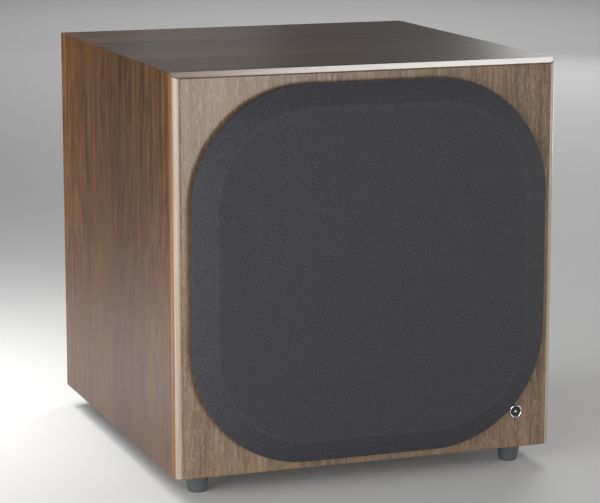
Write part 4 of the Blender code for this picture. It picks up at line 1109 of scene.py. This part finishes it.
def make_electronics():
    """The board with its parts, the heat sink and the ring transformer with its clamp."""
    refined("etched_board", "circuit_board", "circuit", 0.0002)
    refined("finned_sink", "heat_sink", "bare_aluminium", 0.0003)
    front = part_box("circuit_board")[0].y - 0.0001
    cans = ((-0.062, 0.078, 0.011, 0.03), (-0.062, 0.05, 0.011, 0.03), (0.068, 0.075, 0.008, 0.022),
            (0.068, 0.054, 0.008, 0.022), (0.03, 0.03, 0.005, 0.012), (0.044, 0.03, 0.005, 0.012),
            (-0.03, 0.03, 0.005, 0.012))
    for number, (x, up, radius, height) in enumerate(cans, 1):
        lid = height - 0.0003
        can = [(0, 0), (radius, 0), (radius, height * 0.04), (radius * 0.96, height * 0.06),
               (radius, height * 0.09), (radius, height), (radius * 0.8, lid), (0, lid)]
        lathe(f"capacitor_{number}", can, (x, front, CENTRE_Z + up), "front", "sleeve", steps=48,
              soften=0.0005, slot="black_plastic")
    blocks = ((0, 0.028, 0.018, 0.012, 0.004), (-0.01, 0.012, 0.01, 0.006, 0.003),
              (0.014, 0.012, 0.01, 0.006, 0.003), (0.052, 0.012, 0.019, 0.014, 0.015))
    chips = bmesh.new()
    for x, up, wide, tall, deep in blocks:
        cuboid(chips, (x, front - deep / 2, CENTRE_Z + up), (wide, deep, tall))
    piece("board_parts", chips, "black_plastic")
    place = (TRANSFORMER[0], PLATE_FRONT - GAP, CENTRE_Z + TRANSFORMER[1])
    ring = [(0.013, 0.006), (0.019, 0), (0.036, 0), (0.042, 0.006), (0.042, 0.028), (0.036, 0.034),
            (0.019, 0.034), (0.013, 0.028)]
    lathe("wound_ring", ring, place, "front", "toroid", "transformer", steps=128, soften=0.004, bends=5)
    dish = [(0, 0.0352), (0.018, 0.0352), (0.024, 0.0343), (0.024, 0.035), (0.018, 0.0362), (0.0052, 0.0362),
            (0.005, 0.04), (0, 0.04)]
    lathe("transformer_clamp", dish, place, "front", "steel", steps=64)


# ---- Camera, lights and floor ----


def make_camera():
    """The camera, in front, to the left and a little above."""
    azimuth, elevation = -0.34955, 0.18932
    back = Vector((math.sin(azimuth) * math.cos(elevation), -math.cos(azimuth) * math.cos(elevation),
                   math.sin(elevation)))
    data = bpy.data.cameras.new("camera")
    data.lens = 147.55
    data.sensor_width = 36
    data.clip_end = 50
    camera = placed("camera", data)
    camera.location = (-0.70925, -1.95199 + (FRONT + BACK) / 2, 0.54066 + BASE)
    camera.rotation_euler = back.to_track_quat("Z", "Y").to_euler()
    bpy.context.scene.camera = camera


def softbox(name, place, target, size, power, spread=180):
    """A rectangular lamp that lights the object without showing in the picture."""
    data = bpy.data.lights.new(name, "AREA")
    data.shape = "RECTANGLE"
    data.size, data.size_y = size
    data.energy = power
    data.spread = math.radians(spread)
    light = placed(name, data)
    light.location = place
    light.rotation_euler = (Vector(place) - Vector(target)).to_track_quat("Z", "Y").to_euler()
    light.visible_camera = False
    return light


def shade(light, thing):
    """Keeps a lamp's light off one object, as a flag beside it would."""
    group = bpy.data.collections.new(light.name + "_shades")
    group.objects.link(thing)
    light.light_linking.receiver_collection = group
    group.collection_objects[0].light_linking.link_state = "EXCLUDE"


def around(azimuth, distance, height):
    """A place round the object, by its azimuth from the front towards the right."""
    turn = math.radians(azimuth)
    return (math.sin(turn) * distance, -math.cos(turn) * distance, height)


def make_stage():
    """A pale floor and soft studio light, low from both sides of the front."""
    reach = 9.0
    corners = [(-reach, -reach, 0), (reach, -reach, 0), (reach, reach, 0), (-reach, reach, 0)]
    mesh = bpy.data.meshes.new("floor")
    mesh.from_pydata(corners, [], [(0, 1, 2, 3)])
    finish = Finish("floor", srgb(210, 210, 209), 0.7)
    finish.mottle(3, 0.01, 3.0)
    mesh.materials.append(finish.material)
    floor = placed("floor", mesh)
    world = bpy.data.worlds.new("studio")
    world.use_nodes = True
    sky = world.node_tree.nodes["Background"].inputs
    sky["Color"].default_value = (0.96, 0.98, 1.0, 1)
    sky["Strength"].default_value = 0.12
    bpy.context.scene.world = world
    aim = (0, 0, 0.17)
    softbox("left_softbox", around(-52, 1.6, 0.4), aim, (1.3, 0.8), 9.4, spread=130)
    softbox("side_softbox", around(-88, 1.5, 0.4), aim, (0.8, 0.8), 4)
    softbox("edge_strip", (-0.56, -0.46, 0.15), (-0.16, -0.16, 0.15), (0.26, 0.3), 0.8)
    softbox("front_softbox", around(5, 1.6, 0.24), aim, (0.45, 0.48), 9.8)
    softbox("right_softbox", around(72, 1.5, 0.45), aim, (1.2, 0.9), 4.5, spread=130)
    softbox("overhead", (0.93, 0.97, 1.83), aim, (0.7, 0.6), 11)
    softbox("back_left_strip", (0.83, 2.88, 0.68), aim, (0.3, 0.3), 0.25)
    softbox("back_right_strip", (1.58, 2.55, 0.66), aim, (0.4, 0.4), 2.8)
    softbox("floor_softbox", (-0.45, 0.25, 0.6), (-0.45, 0.25, 0), (0.5, 0.5), 3.7, spread=125)
    softbox("background_softbox", (1.3, 3.2, 2.2), (1.3, 3.2, 0), (1.8, 2.6), 16, spread=110)
    rear = softbox("rear_softbox", (0.35, 2.0, 0.22), (0, BACK, 0.17), (0.7, 0.2), 4.5, spread=70)
    shade(rear, floor)
    rim = softbox("rim_strip", around(128, 1.5, 0.35), aim, (0.7, 0.7), 5)
    shade(rim, floor)
    bpy.context.scene.view_settings.view_transform = "Standard"


make_camera()
make_stage()
make_carcass()
make_baffle()
make_feet()
make_badge()
make_inside()
make_grille()
make_basket()
make_cone()
make_flexible()
make_motor()
make_amp_plate()
make_controls()
make_sockets()
make_electronics()
